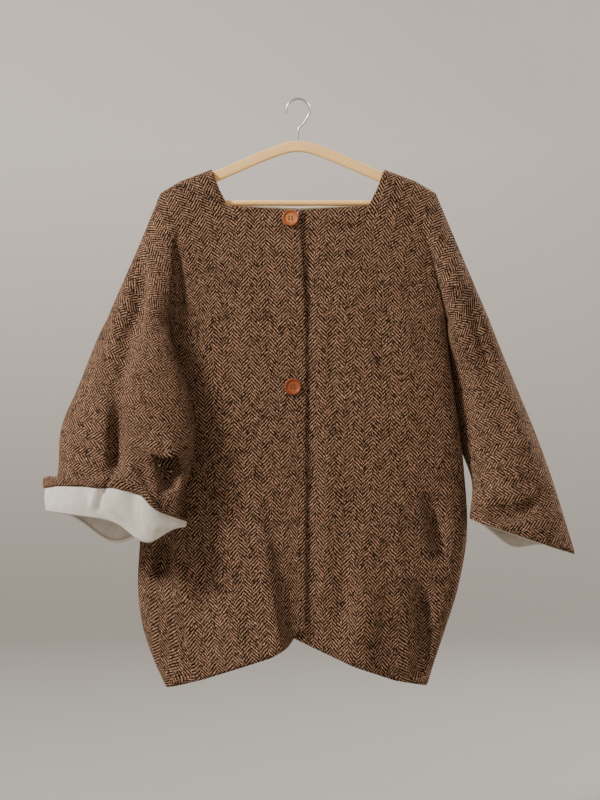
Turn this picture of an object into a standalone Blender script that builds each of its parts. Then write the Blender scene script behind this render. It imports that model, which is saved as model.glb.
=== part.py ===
"""A reversible jacket with kimono sleeves, hanging on a wooden clothes hanger.

Metres, +Z up, the front towards -Y. The origin is the inside top of the hook.
Right and left are the wearer's, so the right side lies at -X.
The tables are in millimetres, and a drop is a distance below the origin."""

import math

import bmesh
import bpy
import numpy as np
from mathutils import Matrix

MM = 0.001

# Cloth
WALL = 2.5  # tweed and its linen backing together
LINEN_WALL = 1.2
SEAM_GAP = 0.32
FRONT_LAP = 13.0  # how far the right front passes the middle
UNDER_LAP = 28.0  # how far the left front lies under it
UNDER_STEP = 5.0  # how far behind the right front it lies
UNDERARM_DROP = 354.0
SHOULDER_ROUND = 11.0  # radius of the cloth over the hanger's arms
CROTCH_ROUND = 10.0  # radius of the cloth around the underarm point
YOKE_DEPTH = {"front": 42.0, "back": 36.0}
EASE, MOST_MITRE = 0.03, 1.8  # how a wall's inner side turns at a sharp fold
LEVEL_REACH = 65.0  # how far above and below the underarm level the depth runs in one curve
LINING_GAP = 0.4  # between the cloth and a lining on its inner side
GROOVE_X = {"right": 190.0, "left": 226.0}  # where the fold beside the sleeve starts to form

# Columns and rows of the cloth's grid
BODY_COLUMNS = 12
SLEEVE_COLUMNS = 10
BODY_STEPS = (0.0, 0.05, 0.12, 0.20, 0.29, 0.38, 0.47, 0.56, 0.65, 0.74, 0.83, 0.92, 1.0)
SLEEVE_STEPS = (0.0, 0.09, 0.22, 0.36, 0.50, 0.64, 0.77, 0.89, 1.0)
YOKE_STEPS = (0.0, 0.015, 0.05, 0.13, 0.25, 0.38, 0.52, 0.66, 0.80, 0.91, 0.97, 1.0)

# Linings and the turned-up cuff, in the grid's rows and columns and in millimetres
SLEEVE_LINING_ROW = 5
NECK_LINING_ROWS, NECK_LINING_COLUMNS = 5, 7
HEM_WALL = 4.0
CUFF_CLEAR = 0.6  # how far the cuff stands off the sleeve at its fold
CUFF_ROWS = {"linen": 4, "tweed": 3}

# Hanger and hook
ARM_REACH, ARM_HEIGHT, ARM_THICK, ARM_SLOPE = 211.0, 18.0, 9.0, 0.45
APEX_DROP, ARM_BEND, ARM_END_ROUND = 65.5, 26.0, 12.0
LOBE_INNER, LOBE_DROP = 186.0, 174.0
BAR_DROP, BAR_DIAMETER = 166.0, 9.5
HOOK_WIRE, HOOK_RADIUS = 3.4, 18.7

# Buttons
BUTTON_DIAMETER, BUTTON_THICK, BUTTON_RIM = 27.0, 4.6, 3.6
HOLE_SPREAD, HOLE_DIAMETER = 5.2, 2.0
BUTTON_STEPS, BUTTON_SINK = 24, 0.9
BUTTONS = {"button_upper": (-12.0, 192.5), "button_lower": (-8.0, 462.0)}


def table(names, *rows):
    """The columns of a table of sections by name."""
    return dict(zip(names.split(), np.array(rows, float).T))


# The body as a tube: half widths, the middle of its side seams, and its depths
BODY = table(
    "drop right left right_seam_y left_seam_y front back",
    (354, 206, 238, -30, -6, 38, 34),
    (384, 205, 237, -27, -5, 40, 36),
    (420, 216, 244, -18, -3, 42, 38),
    (483, 232, 253, -5, 0, 46, 42),
    (596, 248, 267, 0, 0, 50, 46),
    (708, 254, 271, 0, 0, 53, 50),
    (789, 257, 256, 0, 0, 55, 53),
    (853, 248, 236, 0, 0, 57, 55),
    (902, 231, 220, 0, 0, 58, 57),
    (943, 212, 207, 0, 0, 58, 57),
)

# The sleeves: each row is one ring, from the underarm level to the sleeve's end
SLEEVE = {
    "right": table(
        "along outer_x outer_y outer_drop inner_x inner_y inner_drop front back front_lean back_lean",
        (0.00, 303, -5, 354, 206, -30, 354, 52, 34, 22, -16),
        (0.09, 316, -7, 383, 201, -54, 383, 50, 22, 26, -10),
        (0.20, 330, -10, 416, 190, -67, 416, 48, 16, 18, -4),
        (0.36, 348, -14, 460, 174, -75, 460, 46, 15, 6, 0),
        (0.65, 378, -24, 535, 162, -80, 543, 46, 17, 0, 0),
        (0.85, 382, -30, 602, 171, -86, 606, 44, 19, 0, 0),
        (0.93, 389, -32, 628, 183, -88, 643, 43, 21, 0, 0),
        (1.00, 399, -34, 655, 177, -90, 678, 42, 22, 0, 0),
    ),
    "left": table(
        "along outer_x outer_y outer_drop inner_x inner_y inner_drop front back front_lean back_lean",
        (0.00, 307, -2, 354, 238, -6, 354, 48, 40, -4, -6),
        (0.09, 319, -3, 383, 239, 1, 383, 48, 39, -6, 0),
        (0.20, 333, -4, 419, 240, 16, 419, 48, 36, -26, 2),
        (0.38, 356, -6, 475, 247, 22, 472, 49, 34, -30, 4),
        (0.62, 388, -12, 555, 258, 20, 548, 50, 32, -28, 4),
        (0.80, 412, -20, 625, 279, 0, 612, 48, 31, -6, 0),
        (1.00, 442, -30, 728, 273, -40, 672, 44, 28, 0, 0),
    ),
}

# The upper edge from the middle of the neckline to the shoulder's end. A share of 1 is
# the column of the underarm, and 2 is the overarm seam.
TOP = table(
    "share x front_drop back_drop front_y back_y round",
    (0.00, 0, 179, 171, -25, 15, 0),
    (0.50, 113, 171, 166, -18, 12, 0),
    (0.584, 127, 143, 142, -14, 12, 0),
    (0.667, 136, 118, 118, -12, 12, 0),
    (0.75, 139, 111.5, 111.5, 0, 0, 1),
    (1.00, 188, 130, 130, 0, 0, 1),
    (2.00, 222, 150, 150, 0, 0, 0.8),
)

# How low the hem hangs, from the middle (0) to the side seam (1)
HEM = {
    ("right", "front"): table(
        "share drop", (0, 848), (0.05, 852), (0.11, 874), (0.22, 889), (0.42, 905), (0.7, 926), (1, 943)
    ),
    ("left", "front"): table("share drop", (0, 851), (0.2, 876), (0.45, 903), (0.75, 928), (1, 940)),
    ("right", "back"): table("share drop", (0, 842), (0.5, 886), (0.8, 922), (1, 943)),
    ("left", "back"): table("share drop", (0, 842), (0.5, 886), (0.8, 920), (1, 940)),
}

# The largest folds: a ridge has a height above 0 and a valley one below it. A fold runs
# from its first point to its second, bowed sideways, and its ends fade over a share of it.
FOLDS = {
    ("right", "front", "sleeve"): table(
        "x0 drop0 x1 drop1 bow width height fade0 fade1",
        (-238, 215, -287, 500, -4, 15, -13, 0.5, 0.3),
        (-286, 480, -290, 640, 4, 14, -10, 0.3, 0.5),
        (-212, 556, -206, 640, 5, 15, -22, 0.3, 0.4),
    ),
    ("right", "front", "body"): table(
        "x0 drop0 x1 drop1 bow width height fade0 fade1",
        (-160, 575, -88, 556, 0, 26, 7, 0.4, 0.4),
        (-226, 700, -216, 800, 0, 16, -9, 0.4, 0.4),
    ),
    ("left", "front", "body"): table(
        "x0 drop0 x1 drop1 bow width height fade0 fade1",
        (206, 610, 230, 760, 0, 15, -12, 0.4, 0.3),
        (196, 740, 202, 930, 5, 17, -14, 0.4, 0.1),
        (118, 600, 96, 905, 0, 34, 16, 0.9, 0),
    ),
    ("left", "front", "sleeve"): table(
        "x0 drop0 x1 drop1 bow width height fade0 fade1",
        (252, 240, 322, 520, 4, 15, -12, 0.5, 0.4),
        (280, 646, 406, 618, -26, 13, -9, 0.3, 0.4),
    ),
    ("right", "back", "body"): table(
        "x0 drop0 x1 drop1 bow width height fade0 fade1",
        (-150, 420, -140, 930, 0, 32, -14, 0.6, 0),
        (-60, 480, -66, 900, 0, 36, 12, 0.7, 0),
    ),
    ("left", "back", "body"): table(
        "x0 drop0 x1 drop1 bow width height fade0 fade1",
        (158, 400, 150, 930, 0, 32, -13, 0.6, 0),
        (70, 500, 62, 900, 0, 34, 11, 0.7, 0),
    ),
    ("right", "back", "sleeve"): table(
        "x0 drop0 x1 drop1 bow width height fade0 fade1", (-255, 260, -300, 560, 4, 16, -10, 0.5, 0.4)
    ),
    ("left", "back", "sleeve"): table(
        "x0 drop0 x1 drop1 bow width height fade0 fade1", (262, 260, 330, 560, 4, 16, -10, 0.5, 0.4)
    ),
}

# The right front flares forward beside a fold that runs down to the hem
FLARE = {
    "x0": -54.0, "drop0": 570.0, "x1": -9.0, "drop1": 857.0, "rise": 24.0, "reach": 105.0, "height": 34.0
}

# Where a sleeve's open end dips below its ring: -1 is the underarm seam and 1 the overarm
END_DIPS = {
    ("right", "front"): table("at spread drop", (-0.56, 0.36, 46)),
    ("right", "back"): table("at spread drop", (0.1, 0.55, 40)),
    ("left", "front"): table("at spread drop", (0.0, 0.5, 0)),
    ("left", "back"): table("at spread drop", (-0.2, 0.5, 24)),
}

# The turned-up cuff from the underarm seam (0) to the overarm seam (1): its height, how far
# its top stands off the sleeve, and the tweed hem's part of the height
CUFF = {
    "front": table(
        "share height stand hem",
        (0, 7, 2, 0.5),
        (0.08, 14, 3, 0.34),
        (0.17, 35, 7, 0.2),
        (0.24, 53, 11, 0.18),
        (0.3, 69, 13, 0.18),
        (0.36, 76, 14, 0.2),
        (0.42, 75, 14, 0.25),
        (0.48, 64, 13, 0.3),
        (0.54, 56, 13, 0.34),
        (1, 50, 16, 0.33),
    ),
    "back": table(
        "share height stand hem", (0, 7, 2, 0.5), (0.2, 36, 8, 0.35), (0.5, 54, 12, 0.34), (1, 50, 16, 0.33)
    ),
}

SIGN = {"right": -1.0, "left": 1.0}
FACE = {"front": -1.0, "back": 1.0}


def clear_scene():
    for thing in list(bpy.data.objects):
        bpy.data.objects.remove(thing, do_unlink=True)


def collection(name):
    made = bpy.data.collections.new(name)
    bpy.context.scene.collection.children.link(made)
    return made


def material(name, colour, roughness, metallic=0.0):
    made = bpy.data.materials.new(name)
    made.use_nodes = True
    shader = made.node_tree.nodes["Principled BSDF"]
    shader.inputs["Base Color"].default_value = (*colour, 1.0)
    shader.inputs["Roughness"].default_value = roughness
    shader.inputs["Metallic"].default_value = metallic
    made.diffuse_color = (*colour, 1.0)
    return made


def hermite(xs, ys, slopes, where):
    """A smooth curve through points with the given slopes, read at where."""
    where = np.clip(where, xs[0], xs[-1])
    i = np.clip(np.searchsorted(xs, where) - 1, 0, len(xs) - 2)
    step = xs[i + 1] - xs[i]
    t = (where - xs[i]) / step
    rise = ys[i] * (1 + 2 * t) * (1 - t) ** 2 + ys[i + 1] * t**2 * (3 - 2 * t)
    return rise + step * t * (1 - t) * (slopes[i] * (1 - t) - slopes[i + 1] * t)


def read(tab, name, where, key="drop"):
    """A smooth curve through a table's column, read at where."""
    return hermite(tab[key], tab[name], np.gradient(tab[name], tab[key]), where)


def smooth_step(t):
    t = np.clip(t, 0.0, 1.0)
    return t * t * (3 - 2 * t)


def quarter_round(t):
    """The rise of a quarter circle, from 0 to 1."""
    return np.sqrt(1 - (1 - np.clip(t, 0.0, 1.0)) ** 2)


def even_section(first, last, columns, power, flatness):
    """(across, bulge) of a rounded section between two angles, in even steps along it."""
    angle = np.linspace(first, last, 600)
    across = np.sign(np.sin(angle)) * np.abs(np.sin(angle)) ** (2 / power)
    bulge = np.abs(np.cos(angle)) ** (2 / power)
    run = np.concatenate([[0], np.cumsum(np.hypot(np.diff(across), flatness * np.diff(bulge)))])
    even = np.linspace(0, run[-1], columns + 1)
    return np.interp(even, run, across), np.interp(even, run, bulge)


def lap_of(side, face):
    """How far a panel passes the middle, away from its own side."""
    if face == "back":
        return 0.0
    return FRONT_LAP if side == "right" else UNDER_LAP


def body_points(side, face):
    """The body's grid for one panel, from the underarm level to the hem."""
    across, bulge = even_section(0, math.pi / 2, BODY_COLUMNS, 3.2, 0.2)
    hem = np.interp(across, HEM[side, face]["share"], HEM[side, face]["drop"])
    steps = np.array(BODY_STEPS)[:, None]
    drop = UNDERARM_DROP + (hem - UNDERARM_DROP) * steps
    x = read(BODY, side, drop) * across - lap_of(side, face) * (1 - across)
    seam_y = read(BODY, side + "_seam_y", drop)
    y = seam_y * (1 - bulge) + FACE[face] * read(BODY, face, drop) * bulge
    return np.stack([SIGN[side] * x, y, -drop], -1)


def sleeve_points(side, face):
    """The sleeve's grid for one panel, from the underarm level to the sleeve's end."""
    tab = SLEEVE[side]
    across, bulge = even_section(-math.pi / 2, math.pi / 2, SLEEVE_COLUMNS, 2.3, 0.5)
    along = np.array(SLEEVE_STEPS)
    ends = [
        np.stack([SIGN[side] * read(tab, end + "_x", along, "along"), read(tab, end + "_y", along, "along"),
                  -read(tab, end + "_drop", along, "along")], -1)
        for end in ("inner", "outer")
    ]
    middle, half = (ends[0] + ends[1]) / 2, (ends[1] - ends[0]) / 2
    width = np.linalg.norm(half, axis=1, keepdims=True)
    out = np.array([0.0, FACE[face], 0.0]) - FACE[face] * half[:, 1:2] * half / width**2
    out /= np.linalg.norm(out, axis=1, keepdims=True)
    depth = read(tab, face, along, "along")[:, None]
    lean = read(tab, face + "_lean", along, "along")[:, None]
    inward = np.array([-SIGN[side], 0.0, 0.0])
    points = middle[:, None] + across[None, :, None] * half[:, None]
    points = points + (bulge * depth)[..., None] * out[:, None]
    points = points + (bulge * lean * (1 - across) / 2)[..., None] * inward
    dips = END_DIPS[side, face]
    for at, spread, dip in zip(dips["at"], dips["spread"], dips["drop"]):
        shape = np.exp(-(((across - at) / spread) ** 2)) * (1 - across**2)
        points[..., 2] -= dip * shape * along[:, None] ** 5
    return points


def yoke_points(side, face, body_row, sleeve_row):
    """The grid above the underarm, from the neckline and the shoulder seam down to the
    body's and the sleeve's first rows. The cloth hangs plainly from the shoulder and
    turns into the fold between body and sleeve on its way down."""
    count = BODY_COLUMNS + SLEEVE_COLUMNS
    share = np.concatenate([
        np.linspace(0, 1, BODY_COLUMNS + 1),
        1 + np.linspace(0, 1, SLEEVE_COLUMNS + 1)[1:],
    ])
    top = {name: np.interp(share, TOP["share"], TOP[name]) for name in TOP}
    top_x = top["x"] - lap_of(side, face) * 0.3 * np.clip(1 - 2 * share, 0, 1)
    top_y, top_drop = top[face + "_y"], top[face + "_drop"]
    folded = np.concatenate([body_row, sleeve_row[1:]])
    folded_x = SIGN[side] * folded[:, 0]
    turn = np.clip(share - 1, 0, 1) * math.pi / 2
    reach = folded_x[-1] - GROOVE_X[side]
    plain_x = np.where(
        share <= 1,
        folded_x[0] + (GROOVE_X[side] - folded_x[0]) * share,
        GROOVE_X[side] + reach * np.sin(turn) ** 0.8,
    )
    plain_y = FACE[face] * YOKE_DEPTH[face] * np.cos(turn) ** 0.8
    plain_y = plain_y + folded[-1, 1] * np.sin(turn)
    grown_y = folded[:, 1] + (plain_y - folded[:, 1]) * smooth_step(share / 0.8)
    plain_y = np.where(share < 0.8, grown_y, plain_y)
    height = np.array(YOKE_STEPS)[:, None]
    drop = top_drop + (UNDERARM_DROP - top_drop) * height
    fold = smooth_step((height - 0.12) / 0.88)
    x = top_x + (plain_x - top_x) * height + (folded_x - plain_x) * fold
    radius = SHOULDER_ROUND * top["round"]
    rounded = FACE[face] * radius * quarter_round((drop - top_drop) / np.maximum(radius, 1))
    grown = top_y + rounded + (plain_y - top_y - FACE[face] * radius) * height**0.8
    seam = 1 - np.clip(share - 1, 0, 1) ** 4
    edge = plain_y * height
    y = edge + (grown - edge) * seam + (folded[:, 1] - plain_y) * fold
    above = (1 - height) * (UNDERARM_DROP - top_drop)
    column = np.arange(count + 1)
    beside = np.exp(-(((column - BODY_COLUMNS) / 1.3) ** 2))
    y = y + FACE[face] * CROTCH_ROUND * quarter_round(above / CROTCH_ROUND) * beside * fold
    return np.stack([SIGN[side] * x, y, -drop], -1)


def fold_height(tab, x, drop):
    """The summed height of a table's folds at points of the front view."""
    total = np.zeros_like(x)
    t = np.linspace(0, 1, 25)
    for x0, drop0, x1, drop1, bow, width, height, fade0, fade1 in zip(*tab.values()):
        length = math.hypot(x1 - x0, drop1 - drop0)
        side_x, side_drop = (drop1 - drop0) / length, -(x1 - x0) / length
        bend = 4 * bow * t * (1 - t)
        line_x = x0 + (x1 - x0) * t + side_x * bend
        line_drop = drop0 + (drop1 - drop0) * t + side_drop * bend
        away = np.hypot(x[..., None] - line_x, drop[..., None] - line_drop)
        near = away.argmin(-1)
        strength = smooth_step(t / max(fade0, 0.01)) if fade0 else np.ones_like(t)
        if fade1:
            strength = strength * smooth_step((1 - t) / fade1)
        total += height * strength[near] * np.exp(-((away.min(-1) / width) ** 2))
    return total


def flare_height(x, drop):
    """How far the right front stands forward beside the fold that runs to its hem."""
    share = (drop - FLARE["drop0"]) / (FLARE["drop1"] - FLARE["drop0"])
    line = FLARE["x0"] + (FLARE["x1"] - FLARE["x0"]) * share
    away = line - x
    shape = smooth_step(away / FLARE["rise"]) * np.exp(-((np.maximum(away - 20, 0) / FLARE["reach"]) ** 2))
    return FLARE["height"] * smooth_step(share * 0.8) * shape


class Panel:
    """One cut piece: a front or a back with its half of the sleeve."""

    def __init__(self, side, face):
        self.side, self.face = side, face
        body, sleeve = body_points(side, face), sleeve_points(side, face)
        yoke = yoke_points(side, face, body[0], sleeve[0])
        points, self.parts = [], {}
        for part, grid in (("yoke", yoke), ("body", body), ("sleeve", sleeve)):
            index = len(points) + np.arange(grid[..., 0].size).reshape(grid.shape[:2])
            points.extend(grid.reshape(-1, 3))
            self.parts[part] = index
        # The body's and the sleeve's first rows are the yoke's last row
        self.parts["body"][0] = self.parts["yoke"][-1, : BODY_COLUMNS + 1]
        self.parts["sleeve"][0] = self.parts["yoke"][-1, BODY_COLUMNS:]
        self.points = np.array(points)
        self.level()
        self.quads = np.concatenate([self.quads_of(index) for index in self.parts.values()])
        if side == "left" and face == "front":
            x = self.points[:, 0]
            self.points[:, 1] += UNDER_STEP * (1 - smooth_step((x - 18) / 30))

    def level(self):
        """Lets the depth run in one curve through the underarm level, away from the underarm."""
        low, high = UNDERARM_DROP - LEVEL_REACH, UNDERARM_DROP + LEVEL_REACH
        for column in range(BODY_COLUMNS + SLEEVE_COLUMNS + 1):
            part, across = ("body", column) if column <= BODY_COLUMNS else ("sleeve", column - BODY_COLUMNS)
            line = np.concatenate([self.parts["yoke"][:, column], self.parts[part][1:, across]])
            drop, y = -self.points[line, 2], self.points[line, 1]
            ends = np.interp([low - 20, low, high, high + 20], drop, y)
            near = {
                "drop": np.array([low, high]), "y": ends[1:3],
                "slope": np.array([ends[1] - ends[0], ends[3] - ends[2]]) / 20,
            }
            even = hermite(near["drop"], near["y"], near["slope"], drop)
            away = 1 - math.exp(-(((column - BODY_COLUMNS) / 2.5) ** 2))
            inside = (drop > low) & (drop < high)
            self.points[line, 1] = np.where(inside, y + (even - y) * away, y)

    def quads_of(self, index):
        quads = np.stack([index[:-1, :-1], index[1:, :-1], index[1:, 1:], index[:-1, 1:]], -1).reshape(-1, 4)
        turned = SIGN[self.side] * FACE[self.face] > 0
        return quads[:, ::-1] if turned else quads

    def free(self):
        """1 away from the seams and 0 on them, for each point."""
        weight = np.ones(len(self.points))
        yoke, body, sleeve = self.parts["yoke"], self.parts["body"], self.parts["sleeve"]
        columns = np.arange(BODY_COLUMNS + SLEEVE_COLUMNS + 1)
        weight[yoke] *= smooth_step((columns[-1] - columns) / 2.5)
        weight[yoke] *= smooth_step(np.arange(len(yoke)) / 4.0)[:, None]
        weight[body[1:]] *= smooth_step((BODY_COLUMNS - np.arange(BODY_COLUMNS + 1)) / 2.0)
        across = np.arange(SLEEVE_COLUMNS + 1)
        weight[sleeve[1:]] *= smooth_step(np.minimum(across, SLEEVE_COLUMNS - across) / 2.0)
        weight[yoke[-1, BODY_COLUMNS]] = 0
        return weight

    def fold(self, normals):
        """Moves the points out along their normals by the folds."""
        x, drop = self.points[:, 0], -self.points[:, 2]
        height = np.zeros(len(x))
        for part in ("body", "sleeve"):
            if (self.side, self.face, part) not in FOLDS:
                continue
            found = fold_height(FOLDS[self.side, self.face, part], x, drop)
            if part == "body" and (self.side, self.face) == ("right", "front"):
                found = found + flare_height(x, drop)
            index = self.parts[part][1:].ravel()
            height[index] += found[index]
            if part == "sleeve":
                index = self.parts["yoke"][:, BODY_COLUMNS:].ravel()
                height[index] += found[index]
        self.points = self.points + normals * (height * self.free())[:, None]


def point_normals(panels):
    """The way out at each point of each panel, shared across the seams. It is long
    enough at a sharp fold that a wall moved along it keeps its thickness."""
    keys = [[tuple(row) for row in np.round(panel.points, 3)] for panel in panels]
    spread, summed = {}, {}
    for panel, key in zip(panels, keys):
        corner = panel.points[panel.quads]
        face = np.cross(corner[:, 2] - corner[:, 0], corner[:, 3] - corner[:, 1])
        face /= np.maximum(np.linalg.norm(face, axis=1, keepdims=True), 1e-9)
        for quad, normal in zip(panel.quads, face):
            for vertex in quad:
                spread[key[vertex]] = spread.get(key[vertex], 0) + np.outer(normal, normal) + EASE * np.eye(3)
                summed[key[vertex]] = summed.get(key[vertex], 0) + normal
    found = {}
    for key in summed:
        way = np.linalg.solve(spread[key], summed[key])
        found[key] = way * min(1, MOST_MITRE / np.linalg.norm(way))
    return [np.array([found.get(k, np.zeros(3)) for k in key]) for key in keys]


def rim_edges(quads):
    """The directed edges that only one quad has, so that they run round its rim."""
    edges = {(int(a), int(b)) for quad in quads for a, b in zip(quad, np.roll(quad, -1))}
    return [edge for edge in edges if edge[::-1] not in edges]


def draw_in(points, quads, normals, gap):
    """The points with the rim drawn in by half a seam's gap, along the cloth."""
    before, after = {}, {}
    for a, b in rim_edges(quads):
        after[a], before[b] = b, a
    drawn = points.copy()
    for vertex in after:
        ways = []
        for start, end in ((before[vertex], vertex), (vertex, after[vertex])):
            way = np.cross(normals[vertex], points[end] - points[start])
            ways.append(way / np.linalg.norm(way))
        drawn[vertex] = points[vertex] + gap / 2 * (ways[0] + ways[1]) / max(1 + ways[0] @ ways[1], 0.5)
    return drawn


def link_mesh(name, points, faces, look, home):
    """A mesh object of the given points, in millimetres, with its faces turned out."""
    used = sorted({int(v) for face in faces for v in face})
    place = {v: i for i, v in enumerate(used)}
    mesh = bpy.data.meshes.new(name)
    mesh.from_pydata([tuple(points[v] * MM) for v in used], [], [[place[int(v)] for v in f] for f in faces])
    shape = bmesh.new()
    shape.from_mesh(mesh)
    bmesh.ops.triangulate(shape, faces=shape.faces)
    bmesh.ops.recalc_face_normals(shape, faces=shape.faces)
    shape.to_mesh(mesh)
    shape.free()
    mesh.shade_smooth()
    mesh.set_sharp_from_angle(angle=math.radians(50))
    mesh.materials.append(look)
    made = bpy.data.objects.new(name, mesh)
    home.objects.link(made)
    return made


def cloth_wall(name, points, quads, normals, start, wall, look, home):
    """A wall of cloth that begins at start below the points and goes wall deeper."""
    outer, inner = points - normals * start, points - normals * (start + wall)
    count = len(points)
    faces = [tuple(q) for q in quads]
    faces += [tuple(q[::-1] + count) for q in quads]
    faces += [(b, a, a + count, b + count) for a, b in rim_edges(quads)]
    return link_mesh(name, np.concatenate([outer, inner]), faces, look, home)


def sleeve_ring(panels, normals, side):
    """The points and normals of a sleeve's last rows, all round it."""
    grids, ways = [], []
    for panel, normal in zip(panels, normals):
        if panel.side != side:
            continue
        rows = panel.parts["sleeve"][SLEEVE_LINING_ROW:]
        rows = rows[:, :-1] if panel.face == "front" else rows[:, :0:-1]
        grids.append(panel.points[rows])
        ways.append(normal[rows])
    return np.concatenate(grids, 1), np.concatenate(ways, 1)


def ring_wall(name, grid, ways, start, wall, look, home):
    """A closed band of cloth made from a ring's points moved out by start and start + wall,
    each a number or one for each row."""
    rows, columns = grid.shape[:2]
    start = np.broadcast_to(start, rows)[:, None, None]
    layers = [grid + ways * start, grid + ways * (start + wall)]
    points = np.concatenate([layer.reshape(-1, 3) for layer in layers])
    index = np.arange(rows * columns).reshape(rows, columns)
    index = np.concatenate([index, index[:, :1]], 1)
    quads = np.stack([index[:-1, :-1], index[1:, :-1], index[1:, 1:], index[:-1, 1:]], -1).reshape(-1, 4)
    count = rows * columns
    faces = [tuple(q) for q in quads] + [tuple(q[::-1] + count) for q in quads]
    for row in (index[0], index[-1]):
        faces += [(a, b, b + count, a + count) for a, b in zip(row[:-1], row[1:])]
    return link_mesh(name, points, faces, look, home)


def ring_at(grid, ways, height):
    """A ring that lies at a height above the grid's last row, which may differ round it."""
    steps = np.linalg.norm(np.diff(grid, axis=0), axis=-1)
    above = np.concatenate([np.cumsum(steps[::-1], 0)[::-1], np.zeros((1, grid.shape[1]))])
    ring, out = np.empty(grid.shape[1:]), np.empty(grid.shape[1:])
    for k in range(grid.shape[1]):
        for axis in range(3):
            ring[k, axis] = np.interp(height[k], above[::-1, k], grid[::-1, k, axis])
            out[k, axis] = np.interp(height[k], above[::-1, k], ways[::-1, k, axis])
    return ring, out / np.linalg.norm(out, axis=1, keepdims=True)


def add_panels(looks, home):
    panels = [Panel(side, face) for side in ("right", "left") for face in ("front", "back")]
    for panel, normal in zip(panels, point_normals(panels)):
        panel.fold(normal)
    normals = point_normals(panels)
    for panel, normal in zip(panels, normals):
        drawn = draw_in(panel.points, panel.quads, normal, SEAM_GAP)
        name = f"{panel.face}_{panel.side}"
        cloth_wall(name, drawn, panel.quads, normal, 0.0, WALL, looks["tweed"], home)
    return panels, normals


def add_sleeve_linings(panels, normals, looks, home):
    """Linen inside each sleeve's end."""
    for side in ("right", "left"):
        grid, ways = sleeve_ring(panels, normals, side)
        start = -(WALL + LINING_GAP + LINEN_WALL)
        ring_wall(f"sleeve_lining_{side}", grid, ways, start, LINEN_WALL, looks["linen"], home)


def cuff_round():
    """The cuff's height, stand and hem at each column round the sleeve."""
    share = np.linspace(0, 1, SLEEVE_COLUMNS + 1)
    front, back = (
        [np.interp(share, CUFF[face]["share"], CUFF[face][name]) for name in ("height", "stand", "hem")]
        for face in ("front", "back")
    )
    return [np.concatenate([a[:-1], b[:0:-1]]) for a, b in zip(front, back)]


def add_turned_cuff(panels, normals, looks, home):
    """The right sleeve's end turned up outside: linen below, the tweed hem above."""
    grid, ways = sleeve_ring(panels, normals, "right")
    height, stand, hem = cuff_round()
    bands = (
        ("cuff_linen_right", "linen", LINEN_WALL, 0, 1 - hem),
        ("cuff_hem_right", "tweed", HEM_WALL, 1 - hem, 1),
    )
    for name, look, wall, low, high in bands:
        rings, outs = [], []
        for step in np.linspace(0, 1, CUFF_ROWS[look]):
            share = low + (high - low) * step
            lift = 2 * SEAM_GAP if look == "tweed" and step == 0 else 0
            ring, out = ring_at(grid, ways, height * share + lift)
            rings.append(ring + out * (CUFF_CLEAR + stand * share**0.8)[:, None])
            outs.append(out)
        ring_wall(name, np.array(rings), np.array(outs), 0.0, wall, looks[look], home)


def add_neck_lining(panels, normals, looks, home):
    """Linen inside the back neck, across the middle."""
    grids, ways = [], []
    for panel, normal in zip(panels, normals):
        if panel.face != "back":
            continue
        rows = panel.parts["yoke"][:NECK_LINING_ROWS, :NECK_LINING_COLUMNS]
        rows = rows[:, ::-1] if panel.side == "right" else rows[:, 1:]
        grids.append(panel.points[rows])
        ways.append(normal[rows])
    grid, way = np.concatenate(grids, 1), np.concatenate(ways, 1)
    rows, columns = grid.shape[:2]
    index = np.arange(rows * columns).reshape(rows, columns)
    quads = np.stack([index[:-1, :-1], index[:-1, 1:], index[1:, 1:], index[1:, :-1]], -1).reshape(-1, 4)
    lowered = grid.reshape(-1, 3) - np.array([0, 0, 2 * LINING_GAP])
    start = WALL + LINING_GAP
    out = way.reshape(-1, 3)
    cloth_wall("neck_lining_back", lowered, quads, out, start, LINEN_WALL, looks["linen"], home)


def front_plane(panels, x, drop):
    """The right front's y at a place of the front view, and its tilt there."""
    panel = next(p for p in panels if (p.side, p.face) == ("right", "front"))
    middle = np.concatenate([panel.parts["yoke"][:, :5].ravel(), panel.parts["body"][:, :5].ravel()])
    points = panel.points[middle]
    away = np.hypot(points[:, 0] - x, -points[:, 2] - drop)
    near = points[np.argsort(away)[:6]]
    plane, *_ = np.linalg.lstsq(np.column_stack([near[:, 0], near[:, 2], np.ones(6)]), near[:, 1], rcond=None)
    return plane[0] * x - plane[1] * drop + plane[2], -math.atan(plane[1])


def add_button(name, x, drop, panels, look, home):
    """A turned disc with a raised rim, flat on the front's cloth."""
    radius, rim, top = BUTTON_DIAMETER / 2, BUTTON_DIAMETER / 2 - BUTTON_RIM, BUTTON_THICK
    profile = [
        (0, top - 1.7), (rim - 0.6, top - 1.5), (rim + 0.7, top - 0.2), (radius - 1.6, top),
        (radius - 0.5, top - 0.7), (radius, top / 2), (radius - 0.6, 0.8), (radius - 2.2, 0), (0, 0),
    ]
    mesh = bpy.data.meshes.new(name)
    edges = [(k, k + 1) for k in range(len(profile) - 1)]
    mesh.from_pydata([(r * MM, 0, z * MM) for r, z in profile], edges, [])
    mesh.materials.append(look)
    disc = bpy.data.objects.new(name, mesh)
    home.objects.link(disc)
    turn = disc.modifiers.new("turn", "SCREW")
    turn.steps = turn.render_steps = BUTTON_STEPS
    turn.use_merge_vertices = True
    turn.merge_threshold = 0.00001
    y, tilt = front_plane(panels, x, drop)
    disc.rotation_euler = (math.pi / 2 + tilt, 0, 0)
    disc.location = (x * MM, (y - BUTTON_SINK) * MM, -drop * MM)
    return disc


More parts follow.
